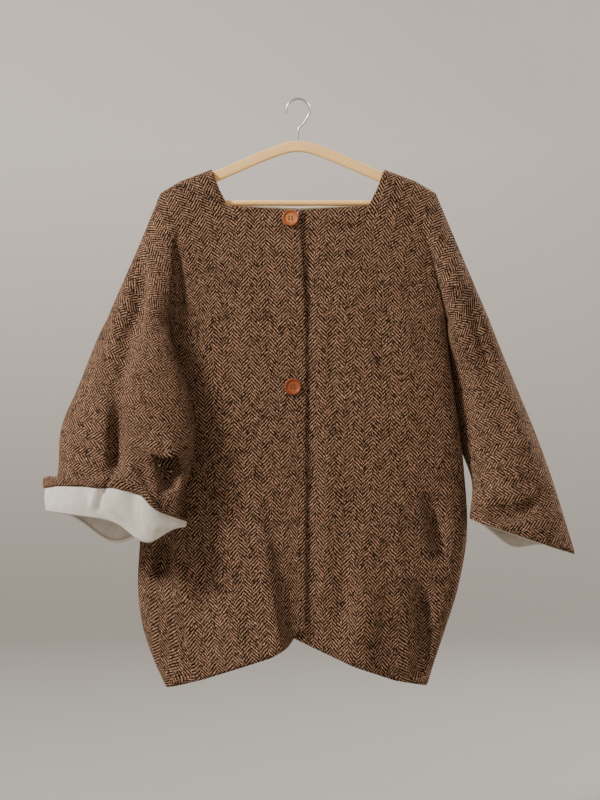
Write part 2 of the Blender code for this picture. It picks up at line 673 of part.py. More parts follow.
def cut_holes(disc, cutters):
    """Four sewing holes through a button."""
    bpy.context.view_layer.update()
    reach = HOLE_SPREAD / math.sqrt(2) * MM
    for k in range(4):
        angle = math.pi / 4 + k * math.pi / 2
        bpy.ops.mesh.primitive_cylinder_add(vertices=8, radius=HOLE_DIAMETER / 2 * MM, depth=20 * MM)
        tool = bpy.context.object
        tool.name = f"{disc.name}_hole_{k + 1}"
        offset = Matrix.Translation((reach * math.cos(angle), reach * math.sin(angle), 0))
        tool.matrix_world = disc.matrix_world @ offset
        tool.hide_render = True
        tool.display_type = "WIRE"
        move_to(tool, cutters)
        cut = disc.modifiers.new(f"hole_{k + 1}", "BOOLEAN")
        cut.operation = "DIFFERENCE"
        cut.object = tool


def move_to(thing, home):
    for old in list(thing.users_collection):
        old.objects.unlink(thing)
    home.objects.link(thing)


def outline_curve(name, outline, thick, rounding, look, home):
    """A flat outline in the front plane, with its edges rounded."""
    curve = bpy.data.curves.new(name, "CURVE")
    curve.dimensions = "2D"
    curve.fill_mode = "BOTH"
    curve.extrude = (thick / 2 - rounding) * MM
    curve.bevel_depth = rounding * MM
    curve.bevel_resolution = 2
    curve.offset = -rounding * MM
    spline = curve.splines.new("POLY")
    spline.points.add(len(outline) - 1)
    for point, (x, z) in zip(spline.points, outline):
        point.co = (x * MM, z * MM, 0, 1)
    spline.use_cyclic_u = True
    made = bpy.data.objects.new(name, curve)
    made.rotation_euler = (math.pi / 2, 0, 0)
    home.objects.link(made)
    weld = made.modifiers.new("weld", "WELD")
    weld.merge_threshold = 0.00001
    curve.materials.append(look)
    return made


def arm_line(x, drop):
    """The z of a sloping edge with a rounded top, which lies at drop in the middle."""
    return -(drop + ARM_SLOPE * (math.hypot(x, ARM_BEND) - ARM_BEND))


def arm_outline():
    """The hanger's wood: two sloping arms that meet in a rounded top, with a lobe at
    each end that takes the bar."""
    end = ARM_REACH - ARM_END_ROUND
    half = [(x, arm_line(x, APEX_DROP)) for x in (0, 6, 13, 22, 34, 60, 110, 165, end)]
    top = half[-1][1]
    middle, radius = (top - LOBE_DROP) / 2, (top + LOBE_DROP) / 2
    for k in range(1, 6):
        angle = math.pi / 2 - k * math.pi / 6
        half.append((end + ARM_END_ROUND * math.cos(angle), middle + radius * math.sin(angle)))
    half += [(end, -LOBE_DROP), (LOBE_INNER, -LOBE_DROP)]
    under = APEX_DROP + ARM_HEIGHT
    half.append((LOBE_INNER, arm_line(LOBE_INNER, under + 1.5)))
    half += [(x, arm_line(x, under)) for x in (176, 160, 110, 60, 34, 18, 8, 0)]
    return half + [(-x, z) for x, z in reversed(half[1:-1])]


def add_hanger(looks, home):
    outline_curve("hanger_arms", arm_outline(), ARM_THICK, 2.6, looks["wood"], home)
    length = 2 * (LOBE_INNER - 0.4)
    bpy.ops.mesh.primitive_cylinder_add(
        vertices=16, radius=BAR_DIAMETER / 2 * MM, depth=length * MM,
        location=(0, 0, -BAR_DROP * MM), rotation=(0, math.pi / 2, 0),
    )
    bar = bpy.context.object
    bar.name = bar.data.name = "hanger_bar"
    bar.data.materials.append(looks["wood"])
    bar.data.shade_smooth()
    bar.data.set_sharp_from_angle(angle=math.radians(50))
    move_to(bar, home)


def hook_path():
    """The hook's wire: a stem from the wood, then most of a turn over the top."""
    centre = -(HOOK_RADIUS - HOOK_WIRE / 2)
    path = [(0, -(APEX_DROP - SEAM_GAP)), (0, -54), (1.2, -46.5), (5.2, -41.6), (9.6, -37.4)]
    first, last, steps = math.radians(-42), math.radians(196), 20
    for k in range(steps + 1):
        angle = first + (last - first) * k / steps
        path.append((HOOK_RADIUS * math.cos(angle), centre + HOOK_RADIUS * math.sin(angle)))
    return path


def add_hook(looks, home):
    curve = bpy.data.curves.new("hanger_hook", "CURVE")
    curve.dimensions = "3D"
    curve.bevel_depth = HOOK_WIRE / 2 * MM
    curve.bevel_resolution = 2
    curve.use_fill_caps = True
    path = hook_path()
    spline = curve.splines.new("POLY")
    spline.points.add(len(path) - 1)
    for point, (x, z) in zip(spline.points, path):
        point.co = (x * MM, 0, z * MM, 1)
    curve.materials.append(looks["steel"])
    made = bpy.data.objects.new("hanger_hook", curve)
    home.objects.link(made)
    weld = made.modifiers.new("weld", "WELD")
    weld.merge_threshold = 0.00001


def main():
    clear_scene()
    home, cutters = collection("reversible_jacket"), collection("cutters")
    cutters.hide_render = True
    looks = {
        "tweed": material("tweed", (0.16, 0.09, 0.055), 0.95),
        "linen": material("linen", (0.62, 0.59, 0.53), 0.9),
        "button": material("button", (0.42, 0.17, 0.06), 0.4),
        "wood": material("wood", (0.72, 0.48, 0.27), 0.45),
        "steel": material("steel", (0.55, 0.55, 0.55), 0.3, 1.0),
    }
    panels, normals = add_panels(looks, home)
    add_sleeve_linings(panels, normals, looks, home)
    add_turned_cuff(panels, normals, looks, home)
    add_neck_lining(panels, normals, looks, home)
    for name, (x, drop) in BUTTONS.items():
        cut_holes(add_button(name, x, drop, panels, looks["button"], home), cutters)
    add_hanger(looks, home)
    add_hook(looks, home)


main()
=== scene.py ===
"""The looks of a reversible jacket that hangs on a wooden clothes hanger.

The cloth follows the tables that give the jacket its form, on a finer grid, with its
smaller creases. Tables are in millimetres, and a drop is a distance below the origin.
Right and left are the wearer's, so the right side lies at -X and the front faces -Y."""

import math

import bmesh
import bpy
import numpy as np
from mathutils import Matrix, Vector


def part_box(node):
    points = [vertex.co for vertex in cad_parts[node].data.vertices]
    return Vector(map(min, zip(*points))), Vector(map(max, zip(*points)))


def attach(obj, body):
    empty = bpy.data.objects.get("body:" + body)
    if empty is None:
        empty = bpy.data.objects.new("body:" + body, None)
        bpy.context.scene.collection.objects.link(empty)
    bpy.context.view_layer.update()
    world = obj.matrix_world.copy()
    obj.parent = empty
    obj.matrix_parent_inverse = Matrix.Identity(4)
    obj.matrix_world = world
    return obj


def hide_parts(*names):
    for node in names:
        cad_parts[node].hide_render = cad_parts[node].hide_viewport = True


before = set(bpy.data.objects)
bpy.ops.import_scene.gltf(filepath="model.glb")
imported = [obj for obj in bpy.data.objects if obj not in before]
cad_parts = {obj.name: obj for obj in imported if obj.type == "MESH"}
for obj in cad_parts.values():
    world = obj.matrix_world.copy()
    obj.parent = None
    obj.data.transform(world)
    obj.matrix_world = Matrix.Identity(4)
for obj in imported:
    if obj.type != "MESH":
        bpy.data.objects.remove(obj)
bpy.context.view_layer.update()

MM = 0.001

# Cloth
WALL = 2.5
LINEN_WALL = 1.2
SEAM_GAP = 0.32
EDGE_ROLL = 0.7  # how far the cloth's face sinks at a rim
FRONT_LAP = 13.0
UNDER_LAP = 28.0
UNDER_STEP = 5.0
UNDERARM_DROP = 354.0
SHOULDER_ROUND = 11.0
CROTCH_ROUND = 10.0
YOKE_DEPTH = {"front": 42.0, "back": 36.0}
LEVEL_REACH = 65.0
LINING_GAP = 0.4
GROOVE_X = {"right": 190.0, "left": 226.0}
BODY_SECTION = (3.2, 0.2)  # how square a section is, and how deep it is for its width
SLEEVE_SECTION = (2.3, 0.5)
UNDER_STEP_X, UNDER_STEP_RUN = 18.0, 30.0  # where the left front steps back behind the right one
LEVEL_PROBE = 20.0  # the length over which a slope is taken beside the underarm level
CROTCH_COLUMNS = 1.3

# How folds fade beside seams, in coarse columns, and below the neckline, in shares of the yoke
OVERARM_FADE, SEAM_FADE = 2.5, 2.0
NECK_FADE, PINCH_FROM, PINCH_RUN = 0.25, 0.7, 0.3

# The cloth's grid: coarse columns and rows, each split into finer ones
FINE = 6
BODY_COLUMNS = 12 * FINE
SLEEVE_COLUMNS = 10 * FINE
BODY_ROWS, SLEEVE_ROWS = 100, 64
YOKE_HEIGHTS = np.concatenate([(0.0, 0.004, 0.010, 0.018, 0.028, 0.041), np.linspace(0.057, 1, 39)])
GRAIN_YOKE, GRAIN_BODY = 5, 8  # the coarse columns beside the centre whose weave hangs straight
GRAIN_BLEND = 120.0  # how far below the underarm the weave comes to follow the surface
SLEEVE_LINING_SHARE = 0.64  # where the lining begins along the sleeve
CUFF_CLEAR = 0.6  # how far the turned-up cuff stands off the sleeve at its fold
CUFF_ROWS = {"linen": 22, "hem": 13}
HEM_BASE, HEM_SET = 0.6, 0.3  # the hem's least thickness, and how far its top edge is tucked in
ROLL_STEPS = 9  # rows of the linen round the cuff's fold
HEM_WALL, HEM_TUCK = 4.0, 0.1  # the hem's thickness, and how much of it the linen runs under
NECK_LINING_HEIGHT, NECK_LINING_REACH = 0.25, 0.5

# Weave
THREAD = 1.48  # one yarn of the tweed
COLUMN_YARNS = 10  # yarns in one column of the herringbone
LINEN_THREAD = 0.8
TWEED = {
    "tan": (0.28, 0.143, 0.080, 1), "cream": (0.98, 0.585, 0.365, 1), "rust": (0.40, 0.185, 0.085, 1),
    "dark": (0.022, 0.011, 0.007, 1), "brown": (0.07, 0.032, 0.017, 1), "black": (0.005, 0.0030, 0.0026, 1),
    "umber": (0.026, 0.0135, 0.0095, 1), "fleck": (0.42, 0.23, 0.125, 1), "fuzz": (0.36, 0.19, 0.10, 1),
}
LINEN = (0.80, 0.73, 0.64)

# Hanger, hook and buttons
ARM_REACH, ARM_HEIGHT, ARM_THICK, ARM_SLOPE = 211.0, 18.0, 9.0, 0.45
APEX_DROP, ARM_BEND, ARM_END_ROUND = 65.5, 26.0, 12.0
LOBE_INNER, LOBE_DROP = 186.0, 174.0
BAR_DROP, BAR_DIAMETER = 166.0, 9.5
HOOK_WIRE, HOOK_RADIUS = 3.4, 18.7
BUTTON_DIAMETER, BUTTON_THICK, BUTTON_RIM = 27.0, 4.6, 3.6
HOLE_SPREAD, HOLE_DIAMETER = 5.0, 2.5
BUTTON_HOLLOW = 1.85  # how far the button's middle lies below its rim
STRAND, STRAND_APART = 0.34, 0.2  # a thread's thickness, and half the space between two
STRAND_LIFT, STRAND_DIVE = 0.3, 2.2  # how a thread rises over the face and dives into its holes


def table(names, *rows):
    """The columns of a table of sections by name."""
    return dict(zip(names.split(), np.array(rows, float).T))


BODY = table(
    "drop right left right_seam_y left_seam_y front back",
    (354, 206, 238, -30, -6, 38, 34),
    (384, 205, 240, -27, -5, 40, 36),
    (420, 216, 244, -18, -3, 42, 38),
    (483, 232, 253, -5, 0, 46, 42),
    (596, 248, 267, 0, 0, 50, 46),
    (708, 254, 271, 0, 0, 53, 50),
    (789, 257, 256, 0, 0, 55, 53),
    (853, 248, 236, 0, 0, 57, 55),
    (902, 231, 220, 0, 0, 58, 57),
    (943, 212, 207, 0, 0, 58, 57),
)

SLEEVE = {
    "right": table(
        "along outer_x outer_y outer_drop inner_x inner_y inner_drop front back front_lean back_lean",
        (0.00, 303, -5, 354, 206, -30, 354, 52, 34, 22, -16),
        (0.09, 316, -7, 383, 201, -54, 383, 50, 22, 26, -10),
        (0.20, 330, -10, 416, 190, -67, 416, 48, 16, 18, -4),
        (0.36, 348, -14, 460, 174, -75, 460, 46, 15, 6, 0),
        (0.65, 378, -24, 535, 162, -80, 543, 46, 17, 0, 0),
        (0.85, 382, -30, 602, 171, -86, 606, 44, 19, 0, 0),
        (0.93, 389, -32, 628, 183, -88, 643, 43, 21, 0, 0),
        (1.00, 399, -34, 655, 177, -90, 678, 42, 22, 0, 0),
    ),
    "left": table(
        "along outer_x outer_y outer_drop inner_x inner_y inner_drop front back front_lean back_lean",
        (0.00, 307, -2, 354, 238, -6, 354, 48, 40, -4, -6),
        (0.09, 319, -3, 383, 239, 1, 383, 48, 39, -6, 0),
        (0.20, 333, -4, 419, 240, 16, 419, 48, 36, -26, 2),
        (0.38, 356, -6, 475, 247, 22, 472, 49, 34, -30, 4),
        (0.62, 388, -12, 555, 258, 20, 548, 50, 32, -28, 4),
        (0.80, 412, -20, 625, 279, 0, 612, 48, 31, -6, 0),
        (1.00, 442, -30, 728, 273, -40, 672, 44, 28, 0, 0),
    ),
}

TOP = table(
    "share x front_drop back_drop front_y back_y round",
    (0.00, 0, 179, 171, -25, 15, 0),
    (0.50, 113, 171, 166, -18, 12, 0),
    (0.584, 127, 143, 142, -14, 12, 0),
    (0.667, 136, 118, 118, -12, 12, 0),
    (0.75, 139, 111.5, 111.5, 0, 0, 1),
    (1.00, 188, 130, 130, 0, 0, 1),
    (2.00, 222, 150, 150, 0, 0, 0.8),
)

HEM = {
    ("right", "front"): table(
        "share drop", (0, 848), (0.05, 852), (0.11, 874), (0.22, 889), (0.42, 905), (0.7, 926), (1, 943)
    ),
    ("left", "front"): table("share drop", (0, 851), (0.2, 876), (0.45, 903), (0.75, 928), (1, 940)),
    ("right", "back"): table("share drop", (0, 842), (0.5, 886), (0.8, 922), (1, 943)),
    ("left", "back"): table("share drop", (0, 842), (0.5, 886), (0.8, 920), (1, 940)),
}

FOLD_COLUMNS = "x0 drop0 x1 drop1 bow width height fade0 fade1"

# The largest folds, which the solids have too
FOLDS = {
    ("right", "front", "sleeve"): table(
        FOLD_COLUMNS,
        (-238, 215, -287, 500, -4, 15, -13, 0.5, 0.3),
        (-286, 480, -290, 640, 4, 14, -10, 0.3, 0.5),
        (-212, 556, -206, 640, 5, 15, -22, 0.3, 0.4),
    ),
    ("right", "front", "body"): table(
        FOLD_COLUMNS,
        (-160, 575, -88, 556, 0, 26, 7, 0.4, 0.4),
        (-226, 700, -216, 800, 0, 16, -9, 0.4, 0.4),
    ),
    ("left", "front", "body"): table(
        FOLD_COLUMNS,
        (206, 610, 230, 760, 0, 15, -12, 0.4, 0.3),
        (196, 740, 202, 930, 5, 17, -14, 0.4, 0.1),
        (118, 600, 96, 905, 0, 34, 16, 0.9, 0),
    ),
    ("left", "front", "sleeve"): table(
        FOLD_COLUMNS,
        (252, 240, 322, 520, 4, 15, -12, 0.5, 0.4),
        (280, 646, 406, 618, -26, 13, -9, 0.3, 0.4),
    ),
    ("right", "back", "body"): table(
        FOLD_COLUMNS,
        (-150, 420, -140, 930, 0, 32, -14, 0.6, 0),
        (-60, 480, -66, 900, 0, 36, 12, 0.7, 0),
    ),
    ("left", "back", "body"): table(
        FOLD_COLUMNS,
        (158, 400, 150, 930, 0, 32, -13, 0.6, 0),
        (70, 500, 62, 900, 0, 34, 11, 0.7, 0),
    ),
    ("right", "back", "sleeve"): table(FOLD_COLUMNS, (-255, 260, -300, 560, 4, 16, -10, 0.5, 0.4)),
    ("left", "back", "sleeve"): table(FOLD_COLUMNS, (262, 260, 330, 560, 4, 16, -10, 0.5, 0.4)),
}

# The smaller creases, soft and uneven
CREASES = {
    ("right", "front", "sleeve"): table(
        FOLD_COLUMNS,
        (-208, 570, -203, 640, 8, 12, -20, 0.12, 0.6),
        (-222, 576, -188, 572, -2, 8, -14, 0.4, 0.3),
        (-244, 546, -178, 550, -4, 12, 13, 0.4, 0.3),
        (-174, 562, -194, 652, -4, 5, -9, 0.2, 0.3),
        (-198, 215, -183, 352, 3, 5.5, -8, 0.35, 0.2),
        (-289, 440, -288, 608, 2, 9, -15, 0.5, 0.2),
        (-244, 226, -262, 440, 3, 9, -8, 0.5, 0.5),
        (-372, 505, -279, 596, 3, 10, 4, 0.5, 0.5),
        (-360, 545, -292, 606, 2, 8, -3.5, 0.5, 0.5),
        (-262, 300, -236, 470, 4, 10, -3, 0.6, 0.6),
        (-322, 420, -300, 560, -3, 12, 3, 0.6, 0.5),
        (-250, 560, -232, 640, 4, 8, -5, 0.4, 0.5),
        (-330, 590, -322, 640, 0, 9, -2.5, 0.5, 0.5),
    ),
    ("right", "front", "body"): table(
        FOLD_COLUMNS,
        (-209, 813, -137, 792, 3, 5, -2.2, 0.3, 0.3),
        (-142, 790, -58, 747, -5, 5, -1.8, 0.3, 0.4),
        (-190, 480, -172, 640, 4, 12, -4, 0.6, 0.6),
        (-198, 215, -183, 352, 3, 5.5, -8, 0.35, 0.2),
        (-164, 571, -100, 552, 0, 6, -4, 0.4, 0.4),
        (-164, 582, -96, 562, 0, 9, 4, 0.4, 0.4),
        (-216, 700, -226, 786, 3, 9, -19, 0.2, 0.5),
        (-120, 240, -136, 430, 6, 18, -2.5, 0.6, 0.6),
        (-70, 260, -76, 520, -5, 22, 2.4, 0.7, 0.6),
        (-150, 640, -168, 900, 8, 22, -3, 0.6, 0.3),
        (-105, 640, -92, 890, -4, 20, 2.6, 0.6, 0.2),
    ),
    ("left", "front", "body"): table(
        FOLD_COLUMNS,
        (62, 250, 48, 560, 6, 18, -4, 0.6, 0.6),
        (120, 230, 140, 520, 5, 16, -4, 0.6, 0.6),
        (34, 560, 40, 840, 4, 16, 4, 0.6, 0.2),
        (160, 560, 168, 880, -6, 15, 4, 0.6, 0.3),
        (78, 640, 70, 880, 0, 12, -5, 0.6, 0.2),
        (209, 640, 236, 752, 0, 8, -8, 0.4, 0.4),
        (199, 776, 206, 918, 4, 8, -8, 0.4, 0.3),
    ),
    ("left", "front", "sleeve"): table(
        FOLD_COLUMNS,
        (330, 430, 372, 600, -4, 12, 5, 0.6, 0.5),
        (276, 652, 404, 622, -26, 9, -9, 0.3, 0.4),
        (290, 500, 350, 560, 3, 10, -3, 0.5, 0.5),
        (300, 596, 380, 580, -6, 10, 3, 0.5, 0.5),
    ),
    ("right", "back", "body"): table(
        FOLD_COLUMNS,
        (-110, 240, -100, 480, 5, 20, -4, 0.6, 0.6),
        (-190, 640, -180, 900, -5, 15, 5, 0.6, 0.2),
        (-100, 620, -108, 900, 4, 14, -4, 0.6, 0.2),
        (-26, 560, -30, 860, 0, 16, -4, 0.6, 0.2),
    ),
    ("left", "back", "body"): table(
        FOLD_COLUMNS,
        (118, 250, 96, 470, -5, 20, -4, 0.6, 0.6),
        (196, 620, 186, 900, 5, 15, 5, 0.6, 0.2),
        (108, 600, 112, 890, -4, 14, -5, 0.6, 0.2),
        (30, 580, 36, 860, 0, 16, -3, 0.6, 0.2),
    ),
    ("right", "back", "sleeve"): table(
        FOLD_COLUMNS,
        (-364, 520, -290, 600, 3, 11, 4, 0.5, 0.5),
        (-270, 440, -250, 600, 3, 12, 3, 0.5, 0.5),
    ),
    ("left", "back", "sleeve"): table(
        FOLD_COLUMNS,
        (330, 440, 366, 620, 3, 12, 4, 0.5, 0.5),
        (296, 560, 380, 600, -4, 11, -3, 0.5, 0.5),
    ),
}

# The right front flares forward beside a fold that runs down to the hem
FLARE = {
    "x0": -54.0, "drop0": 570.0, "x1": -9.0, "drop1": 857.0,
    "rise": 24.0, "crest": 20.0, "reach": 105.0, "height": 34.0, "growth": 0.8,
}

# Where a sleeve's open end dips below its ring: -1 is the underarm seam and 1 the overarm
END_DIPS = {
    ("right", "front"): table("at spread drop", (-0.62, 0.34, 44)),
    ("right", "back"): table("at spread drop", (0.1, 0.55, 40)),
    ("left", "front"): table("at spread drop", (0.0, 0.5, 0)),
    ("left", "back"): table("at spread drop", (-0.2, 0.5, 24)),
}

DEEPEST_CREASE = -15.0  # so that the sleeve's walls stay apart

# Cloth of the right sleeve that sags over the hollow at its elbow
SAG = {"x": -206.0, "drop": 553.0, "reach_x": 24.0, "reach_drop": 11.0, "fall": 19.0}

# Slow waves over the whole cloth: wavelength, direction in degrees and height
WAVES = table("length angle height", (148, 84, 0.9), (97, 21, 0.7), (61, 133, 0.45), (37, 62, 0.22))
WAVE_TURN, WAVE_WIDTH = 17, 1.7  # degrees from panel to panel, and a wave's width for its length

# The turned-up cuff from the underarm seam (0) to the overarm seam (1): its height, how far
# its top stands off the sleeve, and the tweed hem's part of the height
CUFF = {
    "front": table(
        "share height stand hem",
        (0, 7, 2, 0.5),
        (0.08, 14, 3, 0.34),
        (0.17, 35, 7, 0.2),
        (0.24, 60, 11, 0.16),
        (0.3, 77, 13, 0.15),
        (0.36, 78, 14, 0.2),
        (0.42, 71, 14, 0.26),
        (0.48, 65, 13, 0.3),
        (0.54, 61, 13, 0.3),
        (0.65, 58, 13, 0.3),
        (0.85, 52, 14, 0.34),
        (1, 45, 14, 0.46),
    ),
    "back": table(
        "share height stand hem", (0, 7, 2, 0.5), (0.2, 36, 8, 0.35), (0.5, 54, 12, 0.34), (1, 50, 16, 0.33)
    ),
}

BACK_RIPPLE, BACK_RIPPLES = 1.3, 11  # the height and number of ripples round the cuff's back

# Soft folds of the cuff's front, which lean as they rise
CUFF_FOLDS = table(
    "share spread height lean",
    (0.93, 0.030, 2.2, 0.02),
    (0.86, 0.035, -1.4, 0.02),
    (0.70, 0.060, 1.6, -0.03),
    (0.595, 0.022, 4.2, -0.05),
    (0.555, 0.018, -4.0, -0.05),
    (0.42, 0.070, 5.0, 0.05),
    (0.30, 0.030, -2.6, 0.06),
    (0.20, 0.050, 3.0, 0.04),
    (0.12, 0.025, -1.8, 0.04),
)

# Lamps in metres: place, size and power
LAMPS = {
    "key": ((-2.7, -1.7, 1.9), 0.8, 225),
    "fill": ((2.4, -3.0, 0.4), 2.4, 8),
    "back": ((2.7, 1.7, 1.9), 0.8, 215),
    "back_fill": ((-2.4, 3.0, 0.4), 2.4, 8),
}
LAMP_AIM = (0, 0, -0.5)
SKY, SKY_STRENGTH = (1.0, 0.98, 0.95, 1), 0.25

PIXEL = 1.61  # millimetres for one pixel of the photo, at the hanger's plane
PHOTO_HEIGHT = 800  # pixels
CAMERA_AWAY = 3.5  # metres
CAMERA_RIGHT, CAMERA_DROP = 2, 300  # the photo's middle from the hook's top, in pixels

SIGN = {"right": -1.0, "left": 1.0}
FACE = {"front": -1.0, "back": 1.0}


def hermite(xs, ys, slopes, where):
    """A smooth curve through points with the given slopes, read at where."""
    where = np.clip(where, xs[0], xs[-1])
    i = np.clip(np.searchsorted(xs, where) - 1, 0, len(xs) - 2)
    step = xs[i + 1] - xs[i]
    t = (where - xs[i]) / step
    rise = ys[i] * (1 + 2 * t) * (1 - t) ** 2 + ys[i + 1] * t**2 * (3 - 2 * t)
    return rise + step * t * (1 - t) * (slopes[i] * (1 - t) - slopes[i + 1] * t)


def read(tab, name, where, key="drop"):
    """A smooth curve through a table's column, read at where."""
    return hermite(tab[key], tab[name], np.gradient(tab[name], tab[key]), where)


def smooth_step(t):
    t = np.clip(t, 0.0, 1.0)
    return t * t * (3 - 2 * t)


def quarter_round(t):
    """The rise of a quarter circle, from 0 to 1."""
    return np.sqrt(1 - (1 - np.clip(t, 0.0, 1.0)) ** 2)


def even_section(first, last, columns, power, flatness):
    """(across, bulge) of a rounded section between two angles, in even steps along it."""
    angle = np.linspace(first, last, 1200)
    across = np.sign(np.sin(angle)) * np.abs(np.sin(angle)) ** (2 / power)
    bulge = np.abs(np.cos(angle)) ** (2 / power)
    run = np.concatenate([[0], np.cumsum(np.hypot(np.diff(across), flatness * np.diff(bulge)))])
    even = np.linspace(0, run[-1], columns + 1)
    return np.interp(even, run, across), np.interp(even, run, bulge)


def lap_of(side, face):
    """How far a panel passes the middle, away from its own side."""
    if face == "back":
        return 0.0
    return FRONT_LAP if side == "right" else UNDER_LAP


def body_points(side, face):
    """The body's grid for one panel, from the underarm level to the hem."""
    across, bulge = even_section(0, math.pi / 2, BODY_COLUMNS, *BODY_SECTION)
    hem = np.interp(across, HEM[side, face]["share"], HEM[side, face]["drop"])
    steps = np.linspace(0, 1, BODY_ROWS + 1)[:, None]
    drop = UNDERARM_DROP + (hem - UNDERARM_DROP) * steps
    x = read(BODY, side, drop) * across - lap_of(side, face) * (1 - across)
    seam_y = read(BODY, side + "_seam_y", drop)
    y = seam_y * (1 - bulge) + FACE[face] * read(BODY, face, drop) * bulge
    return np.stack([SIGN[side] * x, y, -drop], -1)


def sleeve_points(side, face):
    """The sleeve's grid for one panel, from the underarm level to the sleeve's end."""
    tab = SLEEVE[side]
    across, bulge = even_section(-math.pi / 2, math.pi / 2, SLEEVE_COLUMNS, *SLEEVE_SECTION)
    along = np.linspace(0, 1, SLEEVE_ROWS + 1)
    ends = [
        np.stack([SIGN[side] * read(tab, end + "_x", along, "along"), read(tab, end + "_y", along, "along"),
                  -read(tab, end + "_drop", along, "along")], -1)
        for end in ("inner", "outer")
    ]
    middle, half = (ends[0] + ends[1]) / 2, (ends[1] - ends[0]) / 2
    width = np.linalg.norm(half, axis=1, keepdims=True)
    out = np.array([0.0, FACE[face], 0.0]) - FACE[face] * half[:, 1:2] * half / width**2
    out /= np.linalg.norm(out, axis=1, keepdims=True)
    depth = read(tab, face, along, "along")[:, None]
    lean = read(tab, face + "_lean", along, "along")[:, None]
    inward = np.array([-SIGN[side], 0.0, 0.0])
    points = middle[:, None] + across[None, :, None] * half[:, None]
    points = points + (bulge * depth)[..., None] * out[:, None]
    points = points + (bulge * lean * (1 - across) / 2)[..., None] * inward
    dips = END_DIPS[side, face]
    for at, spread, dip in zip(dips["at"], dips["spread"], dips["drop"]):
        shape = np.exp(-(((across - at) / spread) ** 2)) * (1 - across**2)
        points[..., 2] -= dip * shape * along[:, None] ** 5
    return points


def yoke_points(side, face, body_row, sleeve_row):
    """The grid above the underarm, from the neckline and the shoulder seam down to the
    body's and the sleeve's first rows."""
    count = BODY_COLUMNS + SLEEVE_COLUMNS
    share = np.concatenate([
        np.linspace(0, 1, BODY_COLUMNS + 1),
        1 + np.linspace(0, 1, SLEEVE_COLUMNS + 1)[1:],
    ])
    top = {name: np.interp(share, TOP["share"], TOP[name]) for name in TOP}
    top_x = top["x"] - lap_of(side, face) * 0.3 * np.clip(1 - 2 * share, 0, 1)
    top_y, top_drop = top[face + "_y"], top[face + "_drop"]
    folded = np.concatenate([body_row, sleeve_row[1:]])
    folded_x = SIGN[side] * folded[:, 0]
    turn = np.clip(share - 1, 0, 1) * math.pi / 2
    reach = folded_x[-1] - GROOVE_X[side]
    plain_x = np.where(
        share <= 1,
        folded_x[0] + (GROOVE_X[side] - folded_x[0]) * share,
        GROOVE_X[side] + reach * np.sin(turn) ** 0.8,
    )
    plain_y = FACE[face] * YOKE_DEPTH[face] * np.cos(turn) ** 0.8
    plain_y = plain_y + folded[-1, 1] * np.sin(turn)
    grown_y = folded[:, 1] + (plain_y - folded[:, 1]) * smooth_step(share / 0.8)
    plain_y = np.where(share < 0.8, grown_y, plain_y)
    height = YOKE_HEIGHTS[:, None]
    drop = top_drop + (UNDERARM_DROP - top_drop) * height
    fold = smooth_step((height - 0.12) / 0.88)
    x = top_x + (plain_x - top_x) * height + (folded_x - plain_x) * fold
    radius = SHOULDER_ROUND * top["round"]
    rounded = FACE[face] * radius * quarter_round((drop - top_drop) / np.maximum(radius, 1))
    grown = top_y + rounded + (plain_y - top_y - FACE[face] * radius) * height**0.8
    seam = 1 - np.clip(share - 1, 0, 1) ** 4
    edge = plain_y * height
    y = edge + (grown - edge) * seam + (folded[:, 1] - plain_y) * fold
    above = (1 - height) * (UNDERARM_DROP - top_drop)
    column = np.arange(count + 1) / FINE
    beside = np.exp(-(((column - BODY_COLUMNS / FINE) / CROTCH_COLUMNS) ** 2))
    y = y + FACE[face] * CROTCH_ROUND * quarter_round(above / CROTCH_ROUND) * beside * fold
    return np.stack([SIGN[side] * x, y, -drop], -1)


def fold_height(tab, x, drop):
    """The summed height of a table's folds at points of the front view."""
    total = np.zeros_like(x)
    for x0, drop0, x1, drop1, bow, width, height, fade0, fade1 in zip(*tab.values()):
        length = math.hypot(x1 - x0, drop1 - drop0)
        way_x, way_drop = (x1 - x0) / length, (drop1 - drop0) / length
        run = ((x - x0) * way_x + (drop - drop0) * way_drop) / length
        t = np.clip(run, 0, 1)
        away = (x - x0) * way_drop - (drop - drop0) * way_x - 4 * bow * t * (1 - t)
        strength = smooth_step(t / fade0) if fade0 else (run >= 0) * 1.0
        if fade1:
            strength = strength * smooth_step((1 - t) / fade1)
        total += height * strength * np.exp(-((np.hypot(away, (run - t) * length) / width) ** 2))
    return total


def flare_height(x, drop):
    """How far the right front stands forward beside the fold that runs to its hem."""
    share = (drop - FLARE["drop0"]) / (FLARE["drop1"] - FLARE["drop0"])
    line = FLARE["x0"] + (FLARE["x1"] - FLARE["x0"]) * share
    away = line - x
    past = np.maximum(away - FLARE["crest"], 0)
    shape = smooth_step(away / FLARE["rise"]) * np.exp(-((past / FLARE["reach"]) ** 2))
    return FLARE["height"] * smooth_step(share * FLARE["growth"]) * shape


def wave_height(x, drop, shift):
    """Slow uneven waves, a little different for each panel."""
    total = np.zeros_like(x)
    for k, (length, angle, height) in enumerate(zip(*WAVES.values())):
        way = math.radians(angle + WAVE_TURN * shift)
        run = (x * math.cos(way) + drop * math.sin(way)) / length
        cross = (drop * math.cos(way) - x * math.sin(way)) / (WAVE_WIDTH * length)
        total += height * np.sin(2 * math.pi * run + shift + k) * np.cos(2 * math.pi * cross + 2 * shift)
    return total


